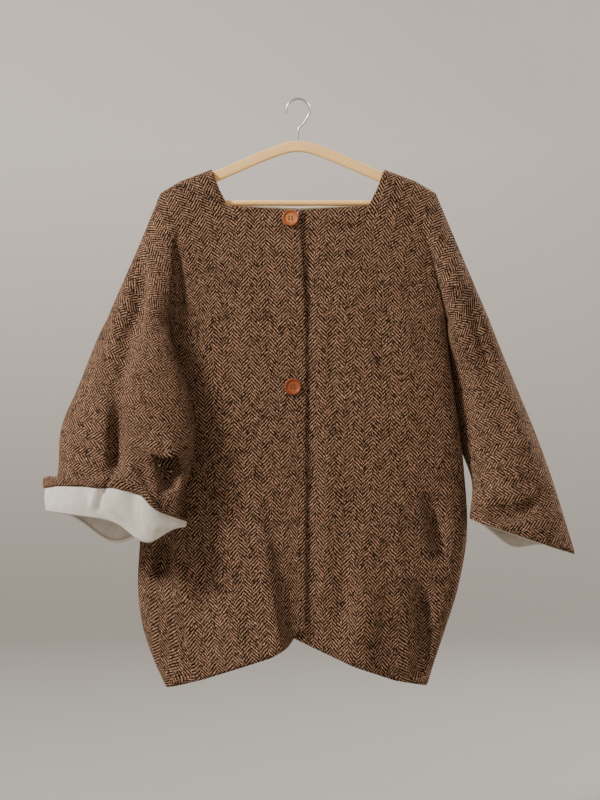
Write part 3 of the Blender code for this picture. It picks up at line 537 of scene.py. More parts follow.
class Panel:
    """One cut piece: a front or a back with its half of the sleeve."""

    def __init__(self, side, face):
        self.side, self.face = side, face
        self.name = f"{face}_{side}"
        body, sleeve = body_points(side, face), sleeve_points(side, face)
        yoke = yoke_points(side, face, body[0], sleeve[0])
        points, self.parts = [], {}
        for part, grid in (("yoke", yoke), ("body", body), ("sleeve", sleeve)):
            index = len(points) + np.arange(grid[..., 0].size).reshape(grid.shape[:2])
            points.extend(grid.reshape(-1, 3))
            self.parts[part] = index
        self.parts["body"][0] = self.parts["yoke"][-1, : BODY_COLUMNS + 1]
        self.parts["sleeve"][0] = self.parts["yoke"][-1, BODY_COLUMNS:]
        self.points = np.array(points)
        self.level()
        self.quads = np.concatenate([self.quads_of(index) for index in self.parts.values()])
        if side == "left" and face == "front":
            x = self.points[:, 0]
            self.points[:, 1] += UNDER_STEP * (1 - smooth_step((x - UNDER_STEP_X) / UNDER_STEP_RUN))

    def level(self):
        """Lets the depth run in one curve through the underarm level, away from the underarm."""
        low, high = UNDERARM_DROP - LEVEL_REACH, UNDERARM_DROP + LEVEL_REACH
        for column in range(BODY_COLUMNS + SLEEVE_COLUMNS + 1):
            part, across = ("body", column) if column <= BODY_COLUMNS else ("sleeve", column - BODY_COLUMNS)
            line = np.concatenate([self.parts["yoke"][:, column], self.parts[part][1:, across]])
            drop, y = -self.points[line, 2], self.points[line, 1]
            ends = np.interp([low - LEVEL_PROBE, low, high, high + LEVEL_PROBE], drop, y)
            slopes = np.array([ends[1] - ends[0], ends[3] - ends[2]]) / LEVEL_PROBE
            even = hermite(np.array([low, high]), ends[1:3], slopes, drop)
            away = 1 - math.exp(-(((column - BODY_COLUMNS) / FINE / 2.5) ** 2))
            inside = (drop > low) & (drop < high)
            self.points[line, 1] = np.where(inside, y + (even - y) * away, y)

    def quads_of(self, index):
        quads = np.stack([index[:-1, :-1], index[1:, :-1], index[1:, 1:], index[:-1, 1:]], -1).reshape(-1, 4)
        turned = SIGN[self.side] * FACE[self.face] > 0
        return quads[:, ::-1] if turned else quads

    def free(self):
        """How freely each point may fold: 1 away from the seams and 0 on them."""
        weight = np.ones(len(self.points))
        yoke, body, sleeve = self.parts["yoke"], self.parts["body"], self.parts["sleeve"]
        columns = np.arange(BODY_COLUMNS + SLEEVE_COLUMNS + 1) / FINE
        weight[yoke] *= smooth_step((columns[-1] - columns) / OVERARM_FADE)
        weight[yoke] *= smooth_step(np.sqrt(YOKE_HEIGHTS / NECK_FADE))[:, None]
        pinch = 1 - smooth_step(np.abs(columns - BODY_COLUMNS / FINE) / SEAM_FADE)
        weight[yoke] *= 1 - pinch * smooth_step((YOKE_HEIGHTS - PINCH_FROM) / PINCH_RUN)[:, None]
        inner = np.arange(BODY_COLUMNS + 1) / FINE
        weight[body[1:]] *= smooth_step((inner[-1] - inner) / SEAM_FADE)
        across = np.arange(SLEEVE_COLUMNS + 1) / FINE
        weight[sleeve[1:]] *= smooth_step(np.minimum(across, across[-1] - across) / SEAM_FADE)
        return weight

    def grain(self):
        """The place on the flat cloth, in metres, of the points beside the centre line,
        where the weave hangs straight down. Other points have none."""
        fixed = np.full((len(self.points), 2), np.nan)
        way = -SIGN[self.side] * FACE[self.face]
        for part, columns in (("yoke", GRAIN_YOKE), ("body", GRAIN_BODY)):
            index = self.parts[part][:, : columns * FINE + 1]
            grid = self.points[index]
            run = np.linalg.norm(np.diff(grid, axis=1), axis=-1)
            run = np.concatenate([np.zeros((len(grid), 1)), np.cumsum(run, 1)], 1)
            plain = np.abs(grid[..., 0] - grid[:, :1, 0])
            below = smooth_step((-grid[..., 2] - UNDERARM_DROP) / GRAIN_BLEND)
            fixed[index, 0] = way * (plain + (run - plain) * below) * MM
            fixed[index, 1] = grid[..., 2] * MM
        return fixed

    def fold(self, normals, tables, shift):
        """Moves the points out along their normals by the folds."""
        x, drop = self.points[:, 0], -self.points[:, 2]
        height = np.zeros(len(x))
        for part in ("body", "sleeve"):
            found = fold_height(tables[self.side, self.face, part], x, drop)
            if tables is FOLDS and part == "body" and self.name == "front_right":
                found = found + flare_height(x, drop)
            if tables is CREASES:
                found = np.maximum(found, DEEPEST_CREASE)
            rows = self.parts[part][1:].ravel()
            height[rows] += found[rows]
            upper = self.parts["yoke"]
            upper = upper[:, BODY_COLUMNS:] if part == "sleeve" else upper[:, :BODY_COLUMNS]
            if part == "sleeve" or tables is CREASES:
                height[upper.ravel()] += found[upper.ravel()]
        if tables is CREASES:
            height += wave_height(x, drop, shift)
        self.points = self.points + normals * (height * self.free())[:, None]
        if tables is CREASES and self.name == "front_right":
            rows = self.parts["sleeve"][1:].ravel()
            across = (x[rows] - SAG["x"]) / SAG["reach_x"]
            down = (drop[rows] - SAG["drop"]) / SAG["reach_drop"]
            self.points[rows, 2] -= SAG["fall"] * np.exp(-(across**2) - down**2) * self.free()[rows]


def point_normals(panels):
    """The way out at each point of each panel, shared across the seams."""
    points = np.concatenate([panel.points for panel in panels])
    _, shared = np.unique(np.round(points, 2), axis=0, return_inverse=True)
    shared = shared.ravel()
    summed = np.zeros((shared.max() + 1, 3))
    start = 0
    for panel in panels:
        corner = panel.points[panel.quads]
        face = np.cross(corner[:, 2] - corner[:, 0], corner[:, 3] - corner[:, 1])
        for k in range(4):
            np.add.at(summed, shared[start + panel.quads[:, k]], face)
        start += len(panel.points)
    summed /= np.maximum(np.linalg.norm(summed, axis=1, keepdims=True), 1e-9)
    ways, start = [], 0
    for panel in panels:
        ways.append(summed[shared[start : start + len(panel.points)]])
        start += len(panel.points)
    return ways


def rim_edges(quads):
    """The directed edges that only one quad has, so that they run round its rim."""
    edges = np.concatenate([quads[:, [k, (k + 1) % 4]] for k in range(4)])
    known = set(map(tuple, edges.tolist()))
    return [edge for edge in known if edge[::-1] not in known]


def draw_in(points, edges, normals, gap):
    """The points with the rim drawn in by half a seam's gap, along the cloth."""
    before, after = {}, {}
    for a, b in edges:
        after[a], before[b] = b, a
    drawn = points.copy()
    for vertex in after:
        ways = []
        for start, end in ((before[vertex], vertex), (vertex, after[vertex])):
            way = np.cross(normals[vertex], points[end] - points[start])
            ways.append(way / np.linalg.norm(way))
        drawn[vertex] = points[vertex] + gap / 2 * (ways[0] + ways[1]) / max(1 + ways[0] @ ways[1], 0.5)
    return drawn


def in_scene(name, data):
    made = bpy.data.objects.new(name, data)
    bpy.context.scene.collection.objects.link(made)
    return made


def make_mesh(name, points, faces, slots=None, looks=(), uvs=None):
    """A smooth mesh object of points in millimetres, with each face's material and each
    point's place on the flat cloth."""
    used, place = np.unique(np.concatenate([np.ravel(f) for f in faces]), return_inverse=True)
    mesh = bpy.data.meshes.new(name)
    ends = np.cumsum([len(f) for f in faces])[:-1]
    rows = [part.tolist() for part in np.split(place.ravel(), ends)]
    mesh.from_pydata((points[used] * MM).tolist(), [], rows)
    for look in looks:
        mesh.materials.append(look)
    if slots is not None:
        mesh.polygons.foreach_set("material_index", np.asarray(slots, np.int32))
    if uvs is not None:
        layer = mesh.uv_layers.new(name="weave")
        corner = np.zeros(len(mesh.loops), np.int32)
        mesh.loops.foreach_get("vertex_index", corner)
        layer.data.foreach_set("uv", uvs[used][corner].astype(np.float32).ravel())
    mesh.shade_smooth()
    return in_scene(name, mesh)


def flat_cut(name, points, quads, line, fixed=None):
    """The place of each point on the flat cloth, in metres: the surface is laid flat with
    the least stretch round the part that is fixed already. Where none is, it is turned so
    that the given line of points runs up the weave."""
    used, place = np.unique(quads.ravel(), return_inverse=True)
    mesh = bpy.data.meshes.new(name + "_flat")
    mesh.from_pydata((points[used] * MM).tolist(), [], place.reshape(-1, 4).tolist())
    if fixed is not None:
        shape = bmesh.new()
        shape.from_mesh(mesh)
        layer = shape.loops.layers.uv.new("flat")
        for face in shape.faces:
            for loop in face.loops:
                spot = fixed[used[loop.vert.index]]
                if not np.isnan(spot[0]):
                    loop[layer].uv = spot
                    loop[layer].pin_uv = True
        shape.to_mesh(mesh)
        shape.free()
    thing = in_scene(name + "_flat", mesh)
    bpy.context.view_layer.objects.active = thing
    thing.select_set(True)
    bpy.ops.object.mode_set(mode="EDIT")
    bpy.ops.mesh.select_all(action="SELECT")
    bpy.ops.uv.unwrap(method="MINIMUM_STRETCH", margin=0)
    bpy.ops.object.mode_set(mode="OBJECT")
    corner = np.zeros(len(mesh.loops), np.int32)
    mesh.loops.foreach_get("vertex_index", corner)
    loop_uv = np.zeros(len(mesh.loops) * 2, np.float32)
    mesh.uv_layers.active.data.foreach_get("uv", loop_uv)
    flat = np.zeros((len(used), 2))
    flat[corner] = loop_uv.reshape(-1, 2)
    area = sum(p.area for p in mesh.polygons)
    bpy.data.objects.remove(thing)
    cut = np.zeros((len(points), 2))
    if fixed is not None:
        cut[used] = flat
        return cut, area
    quad = flat[place.reshape(-1, 4)]
    spread = np.abs(np.cross(quad[:, 2] - quad[:, 0], quad[:, 3] - quad[:, 1])).sum() / 2
    flat *= math.sqrt(area / spread)
    cut[used] = flat
    run = cut[line[0]] - cut[line[-1]]
    angle = math.atan2(run[0], run[1])
    turn = np.array([[math.cos(angle), -math.sin(angle)], [math.sin(angle), math.cos(angle)]])
    cut = cut @ turn.T
    return cut - cut[line[0]], area


def cloth_piece(name, points, quads, normals, wall, uvs, looks):
    """A thin wall of cloth: one look outside, the other inside, and a rolled rim."""
    edges = rim_edges(quads)
    drawn = draw_in(points, edges, normals, SEAM_GAP)
    roll = np.zeros(len(points))
    rim = np.array([a for a, _ in edges])
    roll[rim] = min(EDGE_ROLL, wall * 0.35)
    outer = drawn - normals * roll[:, None]
    inner = drawn - normals * (wall - roll)[:, None]
    middle = drawn - normals * wall / 2
    count = len(points)
    faces = [*quads, *(quads[:, ::-1] + count)]
    slots = [0] * len(quads) + [1] * len(quads)
    for a, b in edges:
        faces.append(np.array([b, a, a + 2 * count, b + 2 * count]))
        faces.append(np.array([b + 2 * count, a + 2 * count, a + count, b + count]))
        slots += [0, 1]
    return make_mesh(
        name, np.concatenate([outer, inner, middle]), faces, slots, looks, np.concatenate([uvs, uvs, uvs])
    )


def sleeve_ring(panels, normals, side):
    """The points and normals of a sleeve's last rows, all round it."""
    first = round(SLEEVE_LINING_SHARE * SLEEVE_ROWS)
    grids, ways = [], []
    for panel, normal in zip(panels, normals):
        if panel.side != side:
            continue
        rows = panel.parts["sleeve"][first:]
        rows = rows[:, :-1] if panel.face == "front" else rows[:, :0:-1]
        grids.append(panel.points[rows])
        ways.append(normal[rows])
    return np.concatenate(grids, 1), np.concatenate(ways, 1)


def ring_at(grid, ways, height):
    """A ring that lies at a height above the grid's last row, which may differ round it."""
    steps = np.linalg.norm(np.diff(grid, axis=0), axis=-1)
    above = np.concatenate([np.cumsum(steps[::-1], 0)[::-1], np.zeros((1, grid.shape[1]))])
    ring, out = np.empty(grid.shape[1:]), np.empty(grid.shape[1:])
    for k in range(grid.shape[1]):
        for axis in range(3):
            ring[k, axis] = np.interp(height[k], above[::-1, k], grid[::-1, k, axis])
            out[k, axis] = np.interp(height[k], above[::-1, k], ways[::-1, k, axis])
    return ring, out / np.linalg.norm(out, axis=1, keepdims=True)


def ring_band(name, outer, inner, looks, slant=0.0):
    """A closed band between an outer and an inner ring grid, with a flat cut that runs
    round it. The cut leaves out the step where it closes."""
    rows, columns = outer.shape[:2]
    count = rows * columns
    index = np.arange(count).reshape(rows, columns)
    index = np.concatenate([index, index[:, :1]], 1)
    quads = np.stack([index[:-1, :-1], index[1:, :-1], index[1:, 1:], index[:-1, 1:]], -1).reshape(-1, 4)
    faces = [*quads, *(quads[:, ::-1] + count)]
    for row in (index[0], index[-1]):
        faces += [np.array([a, b, b + count, a + count]) for a, b in zip(row[:-1], row[1:])]
    points = np.concatenate([outer.reshape(-1, 3), inner.reshape(-1, 3)])
    made = make_mesh(name, points, faces, looks=looks)
    shape = bmesh.new()
    shape.from_mesh(made.data)
    bmesh.ops.recalc_face_normals(shape, faces=shape.faces)
    layer = shape.loops.layers.uv.new("weave")
    step = np.linalg.norm(np.diff(np.concatenate([outer, outer[:, :1]], 1), axis=1), axis=-1).mean(0)
    around = np.concatenate([[0], np.cumsum(step)]) * MM
    down = np.concatenate([[0], np.cumsum(np.linalg.norm(np.diff(outer, axis=0), axis=-1).mean(1))]) * MM
    for face in shape.faces:
        places = [divmod(v.index % count, columns) for v in face.verts]
        wraps = max(c for _, c in places) - min(c for _, c in places) > columns / 2
        for loop, (row, column) in zip(face.loops, places):
            column = columns if wraps and column == 0 else column
            layer_u, layer_v = around[column], -down[row]
            loop[layer].uv = (
                layer_u * math.cos(slant) - layer_v * math.sin(slant),
                layer_u * math.sin(slant) + layer_v * math.cos(slant),
            )
    shape.to_mesh(made.data)
    shape.free()
    made.data.shade_smooth()
    made.data.set_sharp_from_angle(angle=math.radians(60))
    corner = np.concatenate([outer, outer[:, :1]], 1)
    across = np.cross(corner[1:, 1:] - corner[:-1, :-1], corner[1:, :-1] - corner[:-1, 1:])
    area = np.linalg.norm(across, axis=-1).sum() / 2 * MM**2
    longest = np.linalg.norm(np.diff(outer, axis=0), axis=-1).sum(0).max() * MM
    return made, (around[-1], longest), area


class Nodes:
    """A short way to write a material's nodes."""

    def __init__(self, name):
        self.material = bpy.data.materials.new(name)
        self.material.use_nodes = True
        self.tree = self.material.node_tree
        self.shader = self.tree.nodes["Principled BSDF"]

    def add(self, kind, **settings):
        node = self.tree.nodes.new(kind)
        for key, value in settings.items():
            setattr(node, key, value)
        return node

    def join(self, value, socket):
        if isinstance(value, (int, float, tuple)):
            socket.default_value = value
        else:
            self.tree.links.new(value, socket)

    def math(self, operation, *values):
        node = self.add("ShaderNodeMath", operation=operation)
        for value, socket in zip(values, node.inputs):
            self.join(value, socket)
        return node.outputs[0]

    def times(self, a, b):
        return self.math("MULTIPLY", a, b)

    def plus(self, a, b):
        return self.math("ADD", a, b)

    def minus(self, a, b):
        return self.math("SUBTRACT", a, b)

    def modulo(self, a, b):
        return self.math("FLOORED_MODULO", a, b)

    def floor(self, a):
        return self.math("FLOOR", a)

    def fraction(self, a):
        return self.math("FRACT", a)

    def size_of(self, a):
        return self.math("ABSOLUTE", a)

    def split(self, place):
        """The x, y and z of a place."""
        node = self.add("ShaderNodeSeparateXYZ")
        self.join(place, node.inputs[0])
        return node.outputs[:3]

    def object_place(self):
        return self.add("ShaderNodeTexCoord").outputs["Object"]

    def mix(self, share, low, high):
        node = self.add("ShaderNodeMix", data_type="RGBA")
        self.join(share, node.inputs["Factor"])
        self.join(low, node.inputs["A"])
        self.join(high, node.inputs["B"])
        return node.outputs["Result"]

    def vector(self, x, y, z=0.0):
        node = self.add("ShaderNodeCombineXYZ")
        for value, socket in zip((x, y, z), node.inputs):
            self.join(value, socket)
        return node.outputs[0]

    def noise(self, place, scale, detail=2.0, roughness=0.5):
        node = self.add("ShaderNodeTexNoise")
        self.join(place, node.inputs["Vector"])
        self.join(scale, node.inputs["Scale"])
        self.join(detail, node.inputs["Detail"])
        self.join(roughness, node.inputs["Roughness"])
        return node.outputs["Fac"]

    def white(self, place):
        node = self.add("ShaderNodeTexWhiteNoise", noise_dimensions="3D")
        self.join(place, node.inputs["Vector"])
        return node.outputs["Value"]

    def shifted(self, place, amount):
        node = self.add("ShaderNodeVectorMath", operation="ADD")
        self.join(place, node.inputs[0])
        node.inputs[1].default_value = (amount, amount * 0.7, amount * 0.3)
        return node.outputs[0]

    def stretch(self, value, low, high, to_low=0.0, to_high=1.0):
        node = self.add("ShaderNodeMapRange", clamp=True)
        for item, socket in zip((value, low, high, to_low, to_high), node.inputs):
            self.join(item, socket)
        return node.outputs[0]

    def relief(self, height, distance, strength):
        node = self.add("ShaderNodeBump")
        self.join(strength, node.inputs["Strength"])
        self.join(distance, node.inputs["Distance"])
        self.join(height, node.inputs["Height"])
        self.join(node.outputs[0], self.shader.inputs["Normal"])

    def set(self, **values):
        for key, value in values.items():
            self.join(value, self.shader.inputs[key.replace("_", " ").title().replace("Ior", "IOR")])


def weave_place(n, thread, jitter=0.0):
    """The place on the flat cloth, counted in yarns, with a slight wander."""
    uv = n.add("ShaderNodeUVMap", uv_map="weave").outputs[0]
    place_u, place_v, _ = n.split(uv)
    size = thread * MM
    wander_u = n.times(n.minus(n.noise(uv, 90.0, 3.0), 0.5), 2.2)
    wander_v = n.times(n.minus(n.noise(n.shifted(uv, 3.7), 80.0, 3.0), 0.5), 2.2)
    if jitter:
        close_u = n.times(n.minus(n.noise(n.shifted(uv, 7.1), 380.0, 2.0), 0.5), jitter)
        close_v = n.times(n.minus(n.noise(n.shifted(uv, 1.9), 420.0, 2.0), 0.5), jitter)
        wander_u, wander_v = n.plus(wander_u, close_u), n.plus(wander_v, close_v)
    u = n.plus(n.math("DIVIDE", place_u, size), wander_u)
    v = n.plus(n.math("DIVIDE", place_v, size), wander_v)
    return uv, u, v


def tweed_material():
    """Herringbone of pale warp over dark weft: a 2/2 twill that turns at each column."""
    n = Nodes("herringbone_tweed")
    uv, u, v = weave_place(n, THREAD, 1.7)
    column = n.floor(n.math("DIVIDE", u, float(COLUMN_YARNS)))
    odd = n.modulo(column, 2.0)
    way = n.minus(1.0, n.times(odd, 2.0))
    end, pick = n.floor(u), n.floor(v)
    in_u, in_v = n.fraction(u), n.fraction(v)
    step = n.plus(n.times(way, end), n.times(odd, 1.0))
    phase = n.modulo(n.plus(pick, step), 4.0)
    is_warp = n.math("LESS_THAN", phase, 2.0)

    def arch(across, along):
        """A yarn's round back: across it and along one float."""
        off = n.minus(n.times(across, 2.0), 1.0)
        side = n.minus(1.0, n.math("POWER", n.size_of(off), 2.5))
        rise = n.math("SINE", n.times(n.times(along, 0.5), math.pi))
        return n.times(side, n.plus(0.35, n.times(rise, 0.65)))

    warp_high = arch(in_u, n.plus(phase, in_v))
    along_even = n.plus(n.minus(phase, 2.0), in_u)
    along_odd = n.plus(n.minus(3.0, phase), in_u)
    along = n.plus(along_even, n.times(odd, n.minus(along_odd, along_even)))
    weft_high = arch(in_v, along)
    high = n.plus(weft_high, n.times(is_warp, n.minus(warp_high, weft_high)))

    # Uneven yarns: their own shade, slubs along them, and fibres across all
    slub = n.noise(n.vector(end, n.times(v, 0.12)), 1.0, 3.0, 0.65)
    float_row = n.floor(n.times(n.plus(pick, step), 0.25))
    own = n.white(n.vector(end, float_row))
    own_weft = n.white(n.vector(float_row, pick, 5.0))
    fibres = n.noise(uv, 2600.0, 3.0, 0.7)
    lumps = n.noise(n.vector(u, v), 0.42, 3.0, 0.6)
    patches = n.noise(uv, 42.0, 4.0, 0.6)
    pale = n.mix(n.stretch(slub, 0.3, 0.65), TWEED["tan"], TWEED["cream"])
    pale = n.mix(n.stretch(own, 0.0, 0.6, 0.45, 0.0), pale, TWEED["rust"])
    pale = n.mix(n.stretch(own, 0.84, 0.94, 0.0, 0.85), pale, TWEED["dark"])
    pale = n.mix(n.stretch(patches, 0.54, 0.74, 0.0, 0.7), pale, TWEED["brown"])
    dark = n.mix(n.stretch(slub, 0.35, 0.8), TWEED["black"], TWEED["umber"])
    dark = n.mix(n.stretch(own_weft, 0.93, 0.98, 0.0, 0.7), dark, TWEED["fleck"])
    colour = n.mix(is_warp, dark, pale)
    # Painted shade: the colour darkens where the yarns dip into the weave's hollows, and by lumps of uneven
    # tone.
    deep = n.times(n.stretch(high, 0.14, 0.74, 0.03, 1.0), n.stretch(lumps, 0.34, 0.60, 0.50, 1.0))
    shade = n.add("ShaderNodeMix", data_type="RGBA", blend_type="MULTIPLY")
    shade.inputs["Factor"].default_value = 1.0
    n.join(colour, shade.inputs["A"])
    n.join(n.mix(deep, (0, 0, 0, 1), (1, 1, 1, 1)), shade.inputs["B"])
    fuzz = n.mix(n.stretch(fibres, 0.66, 0.82, 0.0, 0.08), shade.outputs["Result"], TWEED["fuzz"])
    n.relief(n.plus(high, n.times(fibres, 0.5)), 0.0008, 0.9)
    n.set(Base_Color=fuzz, Roughness=0.93, Specular_IOR_Level=0.08, Sheen_Weight=0.05, Sheen_Roughness=0.5)
    n.shader.inputs["Sheen Tint"].default_value = (0.75, 0.5, 0.35, 1)
    return n.material


def linen_material():
    """Plain-woven linen with uneven yarns."""
    n = Nodes("natural_linen")
    uv, u, v = weave_place(n, LINEN_THREAD)
    end, pick = n.floor(u), n.floor(v)
    in_u, in_v = n.fraction(u), n.fraction(v)
    over = n.modulo(n.plus(end, pick), 2.0)

    def back_of(across, along):
        off = n.minus(n.times(across, 2.0), 1.0)
        side = n.minus(1.0, n.times(off, off))
        rise = n.math("SINE", n.times(along, math.pi))
        return n.times(side, n.plus(0.4, n.times(0.6, rise)))

    warp, weft = back_of(in_u, in_v), back_of(in_v, in_u)
    high = n.plus(weft, n.times(over, n.minus(warp, weft)))
    slub_u = n.noise(n.vector(n.times(u, 0.04), n.times(v, 0.45)), 0.9, 2.0)
    slub_v = n.noise(n.vector(n.times(u, 0.45), n.times(v, 0.04)), 0.9, 2.0)
    slub = n.math("MAXIMUM", n.stretch(slub_u, 0.5, 0.8), n.stretch(slub_v, 0.5, 0.8))
    patches = n.noise(uv, 60.0, 6.0, 0.7)
    # gap is painted shade: the linen at half its colour, for the hollows between yarns.
    gap, slubbed, low, pale = (tuple(c * share for c in LINEN) + (1,) for share in (0.5, 0.72, 0.84, 1.1))
    colour = n.mix(n.stretch(patches, 0.3, 0.7), low, pale)
    colour = n.mix(n.times(slub, 0.55), colour, slubbed)
    # Painted shade: the colour runs towards gap where the yarns dip between each other.
    colour = n.mix(n.stretch(high, 0.0, 0.5, 0.7, 0.0), colour, gap)
    n.set(Base_Color=colour, Roughness=0.88, Specular_IOR_Level=0.25, Sheen_Weight=0.12, Sheen_Roughness=0.6)
    n.relief(n.plus(high, n.times(slub, 0.8)), 0.0003, 0.7)
    return n.material


def wood_material():
    """Pale lacquered beech with a fine grain along each arm."""
    n = Nodes("pale_wood")
    x, y, z = n.split(n.object_place())
    run = n.size_of(x)
    down = n.plus(z, n.times(run, ARM_SLOPE * 0.97))
    grain = n.noise(n.vector(n.times(run, 9.0), n.times(down, 260.0), n.times(y, 200.0)), 1.0, 5.0, 0.65)
    flecks = n.noise(n.vector(n.times(run, 160.0), n.times(down, 1500.0), n.times(y, 900.0)), 1.0, 2.0)
    colour = n.mix(n.stretch(grain, 0.3, 0.7), (0.92, 0.50, 0.17, 1), (1.0, 0.68, 0.29, 1))
    colour = n.mix(n.stretch(flecks, 0.60, 0.78, 0.0, 0.3), colour, (0.62, 0.31, 0.11, 1))
    n.set(Base_Color=colour, Roughness=n.stretch(grain, 0.2, 0.8, 0.45, 0.6), Specular_IOR_Level=0.25)
    n.relief(grain, 0.00012, 0.5)
    return n.material


def button_material(name, heart, rim):
    """A turned button: paler in its middle, with a fine streak through it."""
    n = Nodes(name)
    x, y, _ = n.split(n.object_place())
    away = n.math("SQRT", n.plus(n.math("POWER", x, 2.0), n.math("POWER", y, 2.0)))
    streak = n.noise(n.vector(n.times(x, 90.0), n.times(y, 520.0), 0.0), 1.0, 4.0, 0.6)
    colour = n.mix(n.stretch(away, 0.006, 0.0105), heart, rim)
    dark = tuple(c * 0.45 for c in rim[:3]) + (1,)
    colour = n.mix(n.stretch(streak, 0.42, 0.75, 0.0, 0.55), colour, dark)
    n.set(Base_Color=colour, Roughness=0.5, Specular_IOR_Level=0.3)
    n.relief(streak, 0.00006, 0.5)
    return n.material


def steel_material():
    """Bright drawn wire with faint marks."""
    n = Nodes("bright_wire")
    marks = n.noise(n.object_place(), 700.0, 3.0, 0.6)
    n.set(
        Base_Color=n.mix(n.stretch(marks, 0.3, 0.7), (0.50, 0.50, 0.50, 1), (0.66, 0.66, 0.65, 1)),
        Metallic=1.0, Roughness=n.stretch(marks, 0.3, 0.7, 0.24, 0.38),
    )
    return n.material


def thread_material():
    """Brown twisted thread."""
    n = Nodes("button_thread")
    twist = n.noise(n.object_place(), 2400.0, 2.0)
    n.set(Base_Color=n.mix(twist, (0.10, 0.045, 0.02, 1), (0.22, 0.10, 0.045, 1)), Roughness=0.8)
    n.relief(twist, 0.0001, 0.5)
    return n.material


def dress_cloth(looks):
    """The four panels, in tweed outside and linen inside."""
    panels = [Panel(side, face) for side in ("right", "left") for face in ("front", "back")]
    for panel, normal in zip(panels, point_normals(panels)):
        panel.fold(normal, FOLDS, 0)
    for shift, (panel, normal) in enumerate(zip(panels, point_normals(panels))):
        panel.fold(normal, CREASES, shift + 1)
    normals = point_normals(panels)
    for panel, normal in zip(panels, normals):
        cut, area = flat_cut(panel.name, panel.points, panel.quads, None, panel.grain())
        sides = (looks["tweed"], looks["linen"])
        piece = cloth_piece("cloth_" + panel.name, panel.points, panel.quads, normal, WALL, cut, sides)
        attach(piece, "root")
        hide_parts(panel.name)
    return panels, normals


def dress_linings(panels, normals, looks):
    """Linen inside both sleeve ends."""
    for side in ("right", "left"):
        grid, ways = sleeve_ring(panels, normals, side)
        outer = grid - ways * (WALL + LINING_GAP)
        inner = grid - ways * (WALL + LINING_GAP + LINEN_WALL)
        name = f"sleeve_lining_{side}"
        piece, size, area = ring_band("cloth_" + name, outer, inner, (looks["linen"],))
        finish_band(piece, name)


def finish_band(piece, node):
    """Hangs a lining or a part of the cuff on the root and hides its solid."""
    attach(piece, "root")
    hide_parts(node)


def cuff_round(name):
    """A value of the cuff's table at each column round the sleeve."""
    share = np.linspace(0, 1, SLEEVE_COLUMNS + 1)
    front, back = (read(CUFF[face], name, share, "share") for face in ("front", "back"))
    return np.concatenate([front[:-1], back[:0:-1]])


def cuff_folds(height):
    """How far the cuff's soft folds stand out round the sleeve at a share of its height."""
    share = np.linspace(0, 1, SLEEVE_COLUMNS + 1)[:-1]
    total = np.zeros(2 * SLEEVE_COLUMNS)
    front, back = height[:SLEEVE_COLUMNS], height[SLEEVE_COLUMNS:]
    for at, spread, rise, lean in zip(*CUFF_FOLDS.values()):
        total[:SLEEVE_COLUMNS] += rise * np.exp(-(((share - at - lean * front) / spread) ** 2))
    turn = np.linspace(0, 2 * math.pi, 2 * SLEEVE_COLUMNS, endpoint=False)
    total[SLEEVE_COLUMNS:] += BACK_RIPPLE * np.sin(BACK_RIPPLES * turn[SLEEVE_COLUMNS:] + 2 * back)
    return total * smooth_step(height / 0.3)


def cuff_layer(grid, ways, share):
    """The cuff's ring at a share of its height, which may differ round it, on its inner side."""
    ring, out = ring_at(grid, ways, cuff_round("height") * share)
    stand = CUFF_CLEAR + cuff_round("stand") * share**0.8
    return ring + out * np.maximum(stand + cuff_folds(share), CUFF_CLEAR)[:, None], out


def dress_cuff(panels, normals, looks):
    """The turned-up end of the right sleeve: linen that rolls round its fold, and the
    tweed hem above it."""
    grid, ways = sleeve_ring(panels, normals, "right")
    end, way = grid[-1], ways[-1]
    onward = grid[-1] - grid[-2]
    onward /= np.linalg.norm(onward, axis=1, keepdims=True)
    deep = WALL + LINING_GAP + 2 * LINEN_WALL
    radius = (deep + CUFF_CLEAR) / 2
    outer, inner = [], []
    for angle in np.linspace(-math.pi / 2, math.pi / 2, ROLL_STEPS)[:-1]:
        for layer, reach in ((outer, radius + LINEN_WALL), (inner, radius)):
            side = (CUFF_CLEAR - radius + reach * math.sin(angle)) * way
            layer.append(end + side + reach * math.cos(angle) * onward)
    hem = cuff_round("hem")
    for t in np.linspace(0, 1, CUFF_ROWS["linen"]) ** 1.15:
        ring, out = cuff_layer(grid, ways, (1 - hem * (1 - HEM_TUCK)) * t)
        inner.append(ring)
        outer.append(ring + out * LINEN_WALL)
    piece, size, area = ring_band(
        "cloth_cuff_linen_right", np.array(outer), np.array(inner), (looks["linen"],)
    )
    finish_band(piece, "cuff_linen_right")
    outer, inner = [], []
    for t in np.linspace(0, 1, CUFF_ROWS["hem"]):
        ring, out = cuff_layer(grid, ways, 1 - hem * (1 - t))
        plump = HEM_WALL * quarter_round(min(t, 1 - t) / 0.3)
        inner.append(ring + out * (LINEN_WALL * (1 - smooth_step(t / 0.3)) - HEM_SET * (t == 1)))
        outer.append(ring + out * (HEM_BASE + plump))
    piece, size, area = ring_band(
        "cloth_cuff_hem_right", np.array(outer), np.array(inner), (looks["tweed"],), math.pi / 2
    )
    finish_band(piece, "cuff_hem_right")


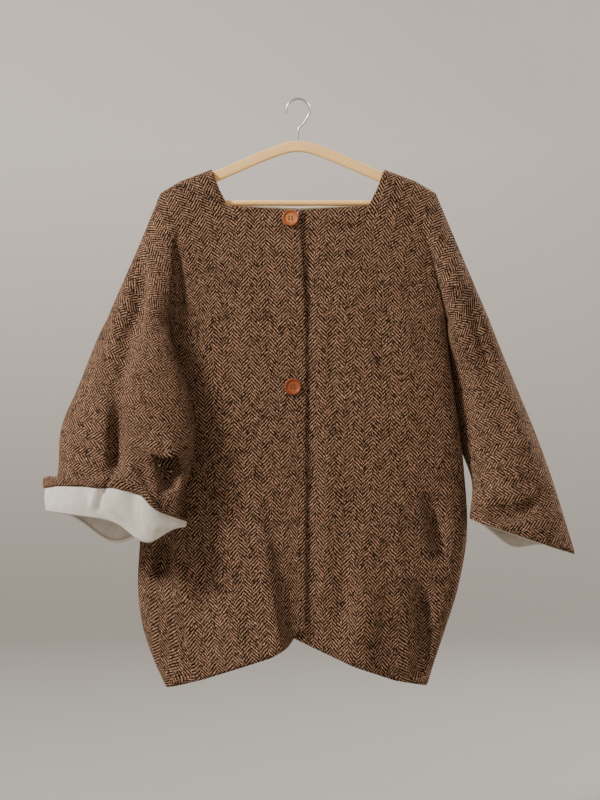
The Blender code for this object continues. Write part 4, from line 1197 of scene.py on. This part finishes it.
def dress_neck(panels, normals, looks):
    """Linen inside the back neck."""
    rows = int(np.searchsorted(YOKE_HEIGHTS, NECK_LINING_HEIGHT)) + 1
    columns = round(NECK_LINING_REACH * BODY_COLUMNS) + 1
    grids, ways = [], []
    for panel, normal in zip(panels, normals):
        if panel.face != "back":
            continue
        index = panel.parts["yoke"][:rows, :columns]
        index = index[:, ::-1] if panel.side == "right" else index[:, 1:]
        grids.append(panel.points[index])
        ways.append(normal[index])
    grid, way = np.concatenate(grids, 1), np.concatenate(ways, 1)
    count = grid.shape[1]
    index = np.arange(grid.shape[0] * count).reshape(-1, count)
    quads = np.stack([index[:-1, :-1], index[:-1, 1:], index[1:, 1:], index[1:, :-1]], -1).reshape(-1, 4)
    normal = way.reshape(-1, 3)
    points = grid.reshape(-1, 3) - np.array([0, 0, 2 * LINING_GAP]) - normal * (WALL + LINING_GAP)
    cut, area = flat_cut("neck", points, quads, index[:, count // 2])
    sides = (looks["linen"], looks["linen"])
    piece = cloth_piece("cloth_neck_lining", points, quads, normal, LINEN_WALL, cut, sides)
    finish_band(piece, "neck_lining_back")


def outline_curve(name, outline, thick, rounding, look):
    """A flat outline in the front plane, with its edges rounded."""
    curve = bpy.data.curves.new(name, "CURVE")
    curve.dimensions = "2D"
    curve.fill_mode = "BOTH"
    curve.extrude = (thick / 2 - rounding) * MM
    curve.bevel_depth = rounding * MM
    curve.bevel_resolution = 4
    curve.offset = -rounding * MM
    spline = curve.splines.new("POLY")
    spline.points.add(len(outline) - 1)
    for point, (x, z) in zip(spline.points, outline):
        point.co = (x * MM, z * MM, 0, 1)
    spline.use_cyclic_u = True
    curve.materials.append(look)
    made = in_scene(name, curve)
    made.rotation_euler = (math.pi / 2, 0, 0)
    return made


def arm_line(x, drop):
    """The z of a sloping edge with a rounded top, which lies at drop in the middle."""
    return -(drop + ARM_SLOPE * (math.hypot(x, ARM_BEND) - ARM_BEND))


def arm_outline():
    """The hanger's wood: two sloping arms and a lobe at each end that takes the bar."""
    end = ARM_REACH - ARM_END_ROUND
    half = [(x, arm_line(x, APEX_DROP)) for x in (*range(0, 60, 4), 60, 110, 165, end)]
    top = half[-1][1]
    middle, radius = (top - LOBE_DROP) / 2, (top + LOBE_DROP) / 2
    for k in range(1, 16):
        angle = math.pi / 2 - k * math.pi / 16
        half.append((end + ARM_END_ROUND * math.cos(angle), middle + radius * math.sin(angle)))
    half += [(end, -LOBE_DROP), (LOBE_INNER, -LOBE_DROP)]
    under = APEX_DROP + ARM_HEIGHT
    half.append((LOBE_INNER, arm_line(LOBE_INNER, under + 1.5)))
    half += [(x, arm_line(x, under)) for x in (176, 160, 110, 60, *range(56, -1, -4))]
    return half + [(-x, z) for x, z in reversed(half[1:-1])]


def as_mesh(curve_object, name):
    """The mesh of an evaluated curve, with its caps welded on."""
    bpy.context.view_layer.update()
    mesh = bpy.data.meshes.new_from_object(curve_object.evaluated_get(bpy.context.evaluated_depsgraph_get()))
    shape = bmesh.new()
    shape.from_mesh(mesh)
    bmesh.ops.transform(shape, matrix=curve_object.matrix_world, verts=shape.verts)
    bmesh.ops.remove_doubles(shape, verts=shape.verts, dist=0.00001)
    shape.to_mesh(mesh)
    shape.free()
    mesh.shade_smooth()
    mesh.set_sharp_from_angle(angle=math.radians(50))
    made = in_scene(name, mesh)
    bpy.data.objects.remove(curve_object)
    return made


def wire(name, path, diameter, look):
    """A round wire or thread along a path of points in millimetres."""
    curve = bpy.data.curves.new(name, "CURVE")
    curve.dimensions = "3D"
    curve.bevel_depth = diameter / 2 * MM
    curve.bevel_resolution = 5
    curve.use_fill_caps = True
    spline = curve.splines.new("POLY")
    spline.points.add(len(path) - 1)
    for point, place in zip(spline.points, path):
        point.co = (*(c * MM for c in place), 1)
    curve.materials.append(look)
    return in_scene(name, curve)


def dress_hanger(looks):
    """The wooden arms, the wooden bar between their ends and the wire hook."""
    arms = as_mesh(outline_curve("arms_curve", arm_outline(), ARM_THICK, 2.6, looks["wood"]), "wooden_arms")
    bar_path = [(x, 0, -BAR_DROP) for x in np.linspace(-(LOBE_INNER - 0.4), LOBE_INNER - 0.4, 24)]
    bar = as_mesh(wire("bar_curve", bar_path, BAR_DIAMETER, looks["wood"]), "wooden_bar")
    centre = -(HOOK_RADIUS - HOOK_WIRE / 2)
    neck = ((0, APEX_DROP - SEAM_GAP), (0, 58), (0.2, 52), (1.2, 46.5), (3.0, 43.7), (5.2, 41.6), (9.6, 37.4))
    path = [(x, 0, -drop) for x, drop in neck]
    for angle in np.linspace(math.radians(-42), math.radians(196), 60):
        path.append((HOOK_RADIUS * math.cos(angle), 0, centre + HOOK_RADIUS * math.sin(angle)))
    hook = as_mesh(wire("hook_curve", path, HOOK_WIRE, looks["steel"]), "wire_hook")
    nodes = ((arms, "hanger_arms", "wood"), (bar, "hanger_bar", "wood"), (hook, "hanger_hook", "steel"))
    for piece, node, slot in nodes:
        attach(piece, "root")
        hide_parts(node)


def turned(name, profile, weld, inward=False):
    """A mesh turned round the z axis from a profile of radius and height in metres."""
    shape = bmesh.new()
    ring = [shape.verts.new((r, 0, z)) for r, z in profile]
    edges = [shape.edges.new(pair) for pair in zip(ring[:-1], ring[1:])]
    bmesh.ops.spin(shape, geom=ring + edges, cent=(0, 0, 0), axis=(0, 0, 1), angle=2 * math.pi, steps=72)
    bmesh.ops.remove_doubles(shape, verts=shape.verts, dist=weld)
    bmesh.ops.recalc_face_normals(shape, faces=shape.faces)
    if inward:
        bmesh.ops.reverse_faces(shape, faces=shape.faces)
    mesh = bpy.data.meshes.new(name)
    shape.to_mesh(mesh)
    shape.free()
    return mesh


def dress_button(node, look, thread):
    """A turned disc with a raised rim, four holes and crossed thread, where the node is."""
    low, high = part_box(node)
    centre = (low + high) / 2
    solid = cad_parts[node].data
    spots = np.array([v.co for v in solid.vertices])
    spots -= spots.mean(0)
    facing = Vector(np.linalg.svd(spots)[2][-1])
    facing = -facing if facing.y > 0 else facing
    radius, rim, top = BUTTON_DIAMETER / 2, BUTTON_DIAMETER / 2 - BUTTON_RIM, BUTTON_THICK
    profile = [
        (0, top - 1.9), (rim - 2.2, top - 1.8), (rim - 0.9, top - 1.6), (rim, top - 0.9),
        (rim + 0.7, top - 0.25), (rim + 1.5, top - 0.02), (radius - 1.3, top - 0.05),
        (radius - 0.6, top - 0.5), (radius - 0.12, top - 1.4), (radius, top / 2),
        (radius - 0.2, 1.3), (radius - 0.9, 0.5), (radius - 2.2, 0), (0, 0),
    ]
    mesh = turned("sewn_" + node, [(r * MM, (z - top / 2) * MM) for r, z in profile], 0.00001)
    mesh.materials.append(look)
    disc = in_scene("sewn_" + node, mesh)
    turn = facing.to_track_quat("Z", "Y").to_matrix().to_4x4()
    disc.matrix_world = Matrix.Translation(centre) @ turn
    reach = HOLE_SPREAD / 2
    cutters = []
    for sx, sy in ((-1, -1), (1, -1), (1, 1), (-1, 1)):
        bpy.ops.mesh.primitive_cylinder_add(vertices=24, radius=HOLE_DIAMETER / 2 * MM, depth=12 * MM)
        cutter = bpy.context.object
        cutter.matrix_world = disc.matrix_world @ Matrix.Translation((sx * reach * MM, sy * reach * MM, 0))
        cut = disc.modifiers.new("hole", "BOOLEAN")
        cut.operation = "DIFFERENCE"
        cut.object = cutter
        cutters.append(cutter)
    bpy.context.view_layer.update()
    holed = bpy.data.meshes.new_from_object(disc.evaluated_get(bpy.context.evaluated_depsgraph_get()))
    disc.modifiers.clear()
    disc.data = holed
    for cutter in cutters:
        bpy.data.objects.remove(cutter)
    holed.shade_smooth()
    holed.set_sharp_from_angle(angle=math.radians(38))
    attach(disc, "root")
    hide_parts(node)
    face = top / 2 - BUTTON_HOLLOW
    for k, (a, b) in enumerate((((-1, -1), (-1, 1)), ((1, -1), (1, 1)))):
        for strand in (-STRAND_APART, STRAND_APART):
            path = []
            for t in np.linspace(0, 1, 13):
                x = reach * (a[0] + (b[0] - a[0]) * t)
                y = reach * (a[1] + (b[1] - a[1]) * t)
                side = strand * (1 if k == 0 else -1)
                lift = face + STRAND_LIFT - (STRAND_DIVE * max(0, abs(2 * t - 1) - 0.75) / 0.25)
                path.append((x + side * (a[1] - b[1]) / 2, y - side * (a[0] - b[0]) / 2, lift))
            strand_curve = wire(f"{node}_thread", path, STRAND, thread)
            strand_curve.matrix_world = disc.matrix_world
            sewn = as_mesh(strand_curve, f"thread_{node}_{k}_{'a' if strand < 0 else 'b'}")
            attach(sewn, "root")


def stage():
    """A floor that rises into a wall far behind, all round, with painted shade: dark on the floor and pale up
    the wall.
    """
    floor_drop, flat, high, bend = 1.25, 3.6, 4.6, 2.4
    profile = [(0.0, 0.0), (flat, 0.0)]
    turns = np.linspace(0.15, math.pi / 2, 10)
    profile += [(flat + bend * math.sin(a), bend * (1 - math.cos(a))) for a in turns]
    profile.append((flat + bend, high))
    mesh = turned("floor", [(r, z - floor_drop) for r, z in profile], 0.0001, inward=True)
    mesh.shade_smooth()
    floor = in_scene("floor", mesh)
    n = Nodes("floor_with_painted_shade")
    # Painted shade and light: the colour runs from dark on the floor to pale up the wall.
    rise = n.stretch(n.split(n.object_place())[2], -floor_drop - 0.2, 0.6)
    n.set(
        Base_Color=n.mix(rise, (0.27, 0.25, 0.22, 1), (1.0, 0.935, 0.86, 1)), Roughness=0.9,
        Specular_IOR_Level=0.1,
    )
    mesh.materials.append(n.material)


def lights():
    """Soft lamps from above and beside, the same in front and behind, and a dim sky."""
    for name, (place, size, power) in LAMPS.items():
        lamp = bpy.data.lights.new(name, "AREA")
        lamp.shape = "DISK"
        lamp.size = size
        lamp.energy = power
        made = in_scene(name, lamp)
        made.location = place
        made.rotation_euler = (Vector(LAMP_AIM) - Vector(place)).to_track_quat("-Z", "Y").to_euler()
    world = bpy.data.worlds.new("studio")
    world.use_nodes = True
    sky = world.node_tree.nodes["Background"].inputs
    sky["Color"].default_value = SKY
    sky["Strength"].default_value = SKY_STRENGTH
    bpy.context.scene.world = world


def camera():
    """Straight from the front, level with the middle of the photo."""
    lens = bpy.data.cameras.new("camera")
    lens.sensor_width = 36
    lens.lens = lens.sensor_width * CAMERA_AWAY / (PHOTO_HEIGHT * PIXEL * MM)
    view = in_scene("camera", lens)
    view.location = (CAMERA_RIGHT * PIXEL * MM, -CAMERA_AWAY, -CAMERA_DROP * PIXEL * MM)
    view.rotation_euler = (math.pi / 2, 0, 0)
    bpy.context.scene.camera = view


def main():
    looks = {
        "tweed": tweed_material(), "linen": linen_material(), "wood": wood_material(),
        "steel": steel_material(), "thread": thread_material(),
    }
    camera()
    panels, normals = dress_cloth(looks)
    dress_linings(panels, normals, looks)
    dress_cuff(panels, normals, looks)
    dress_neck(panels, normals, looks)
    dress_hanger(looks)
    upper = button_material("honey_button", (0.52, 0.20, 0.06, 1), (0.33, 0.085, 0.02, 1))
    lower = button_material("red_brown_button", (0.30, 0.075, 0.02, 1), (0.23, 0.05, 0.013, 1))
    dress_button("button_upper", upper, looks["thread"])
    dress_button("button_lower", lower, looks["thread"])
    stage()
    lights()


main()
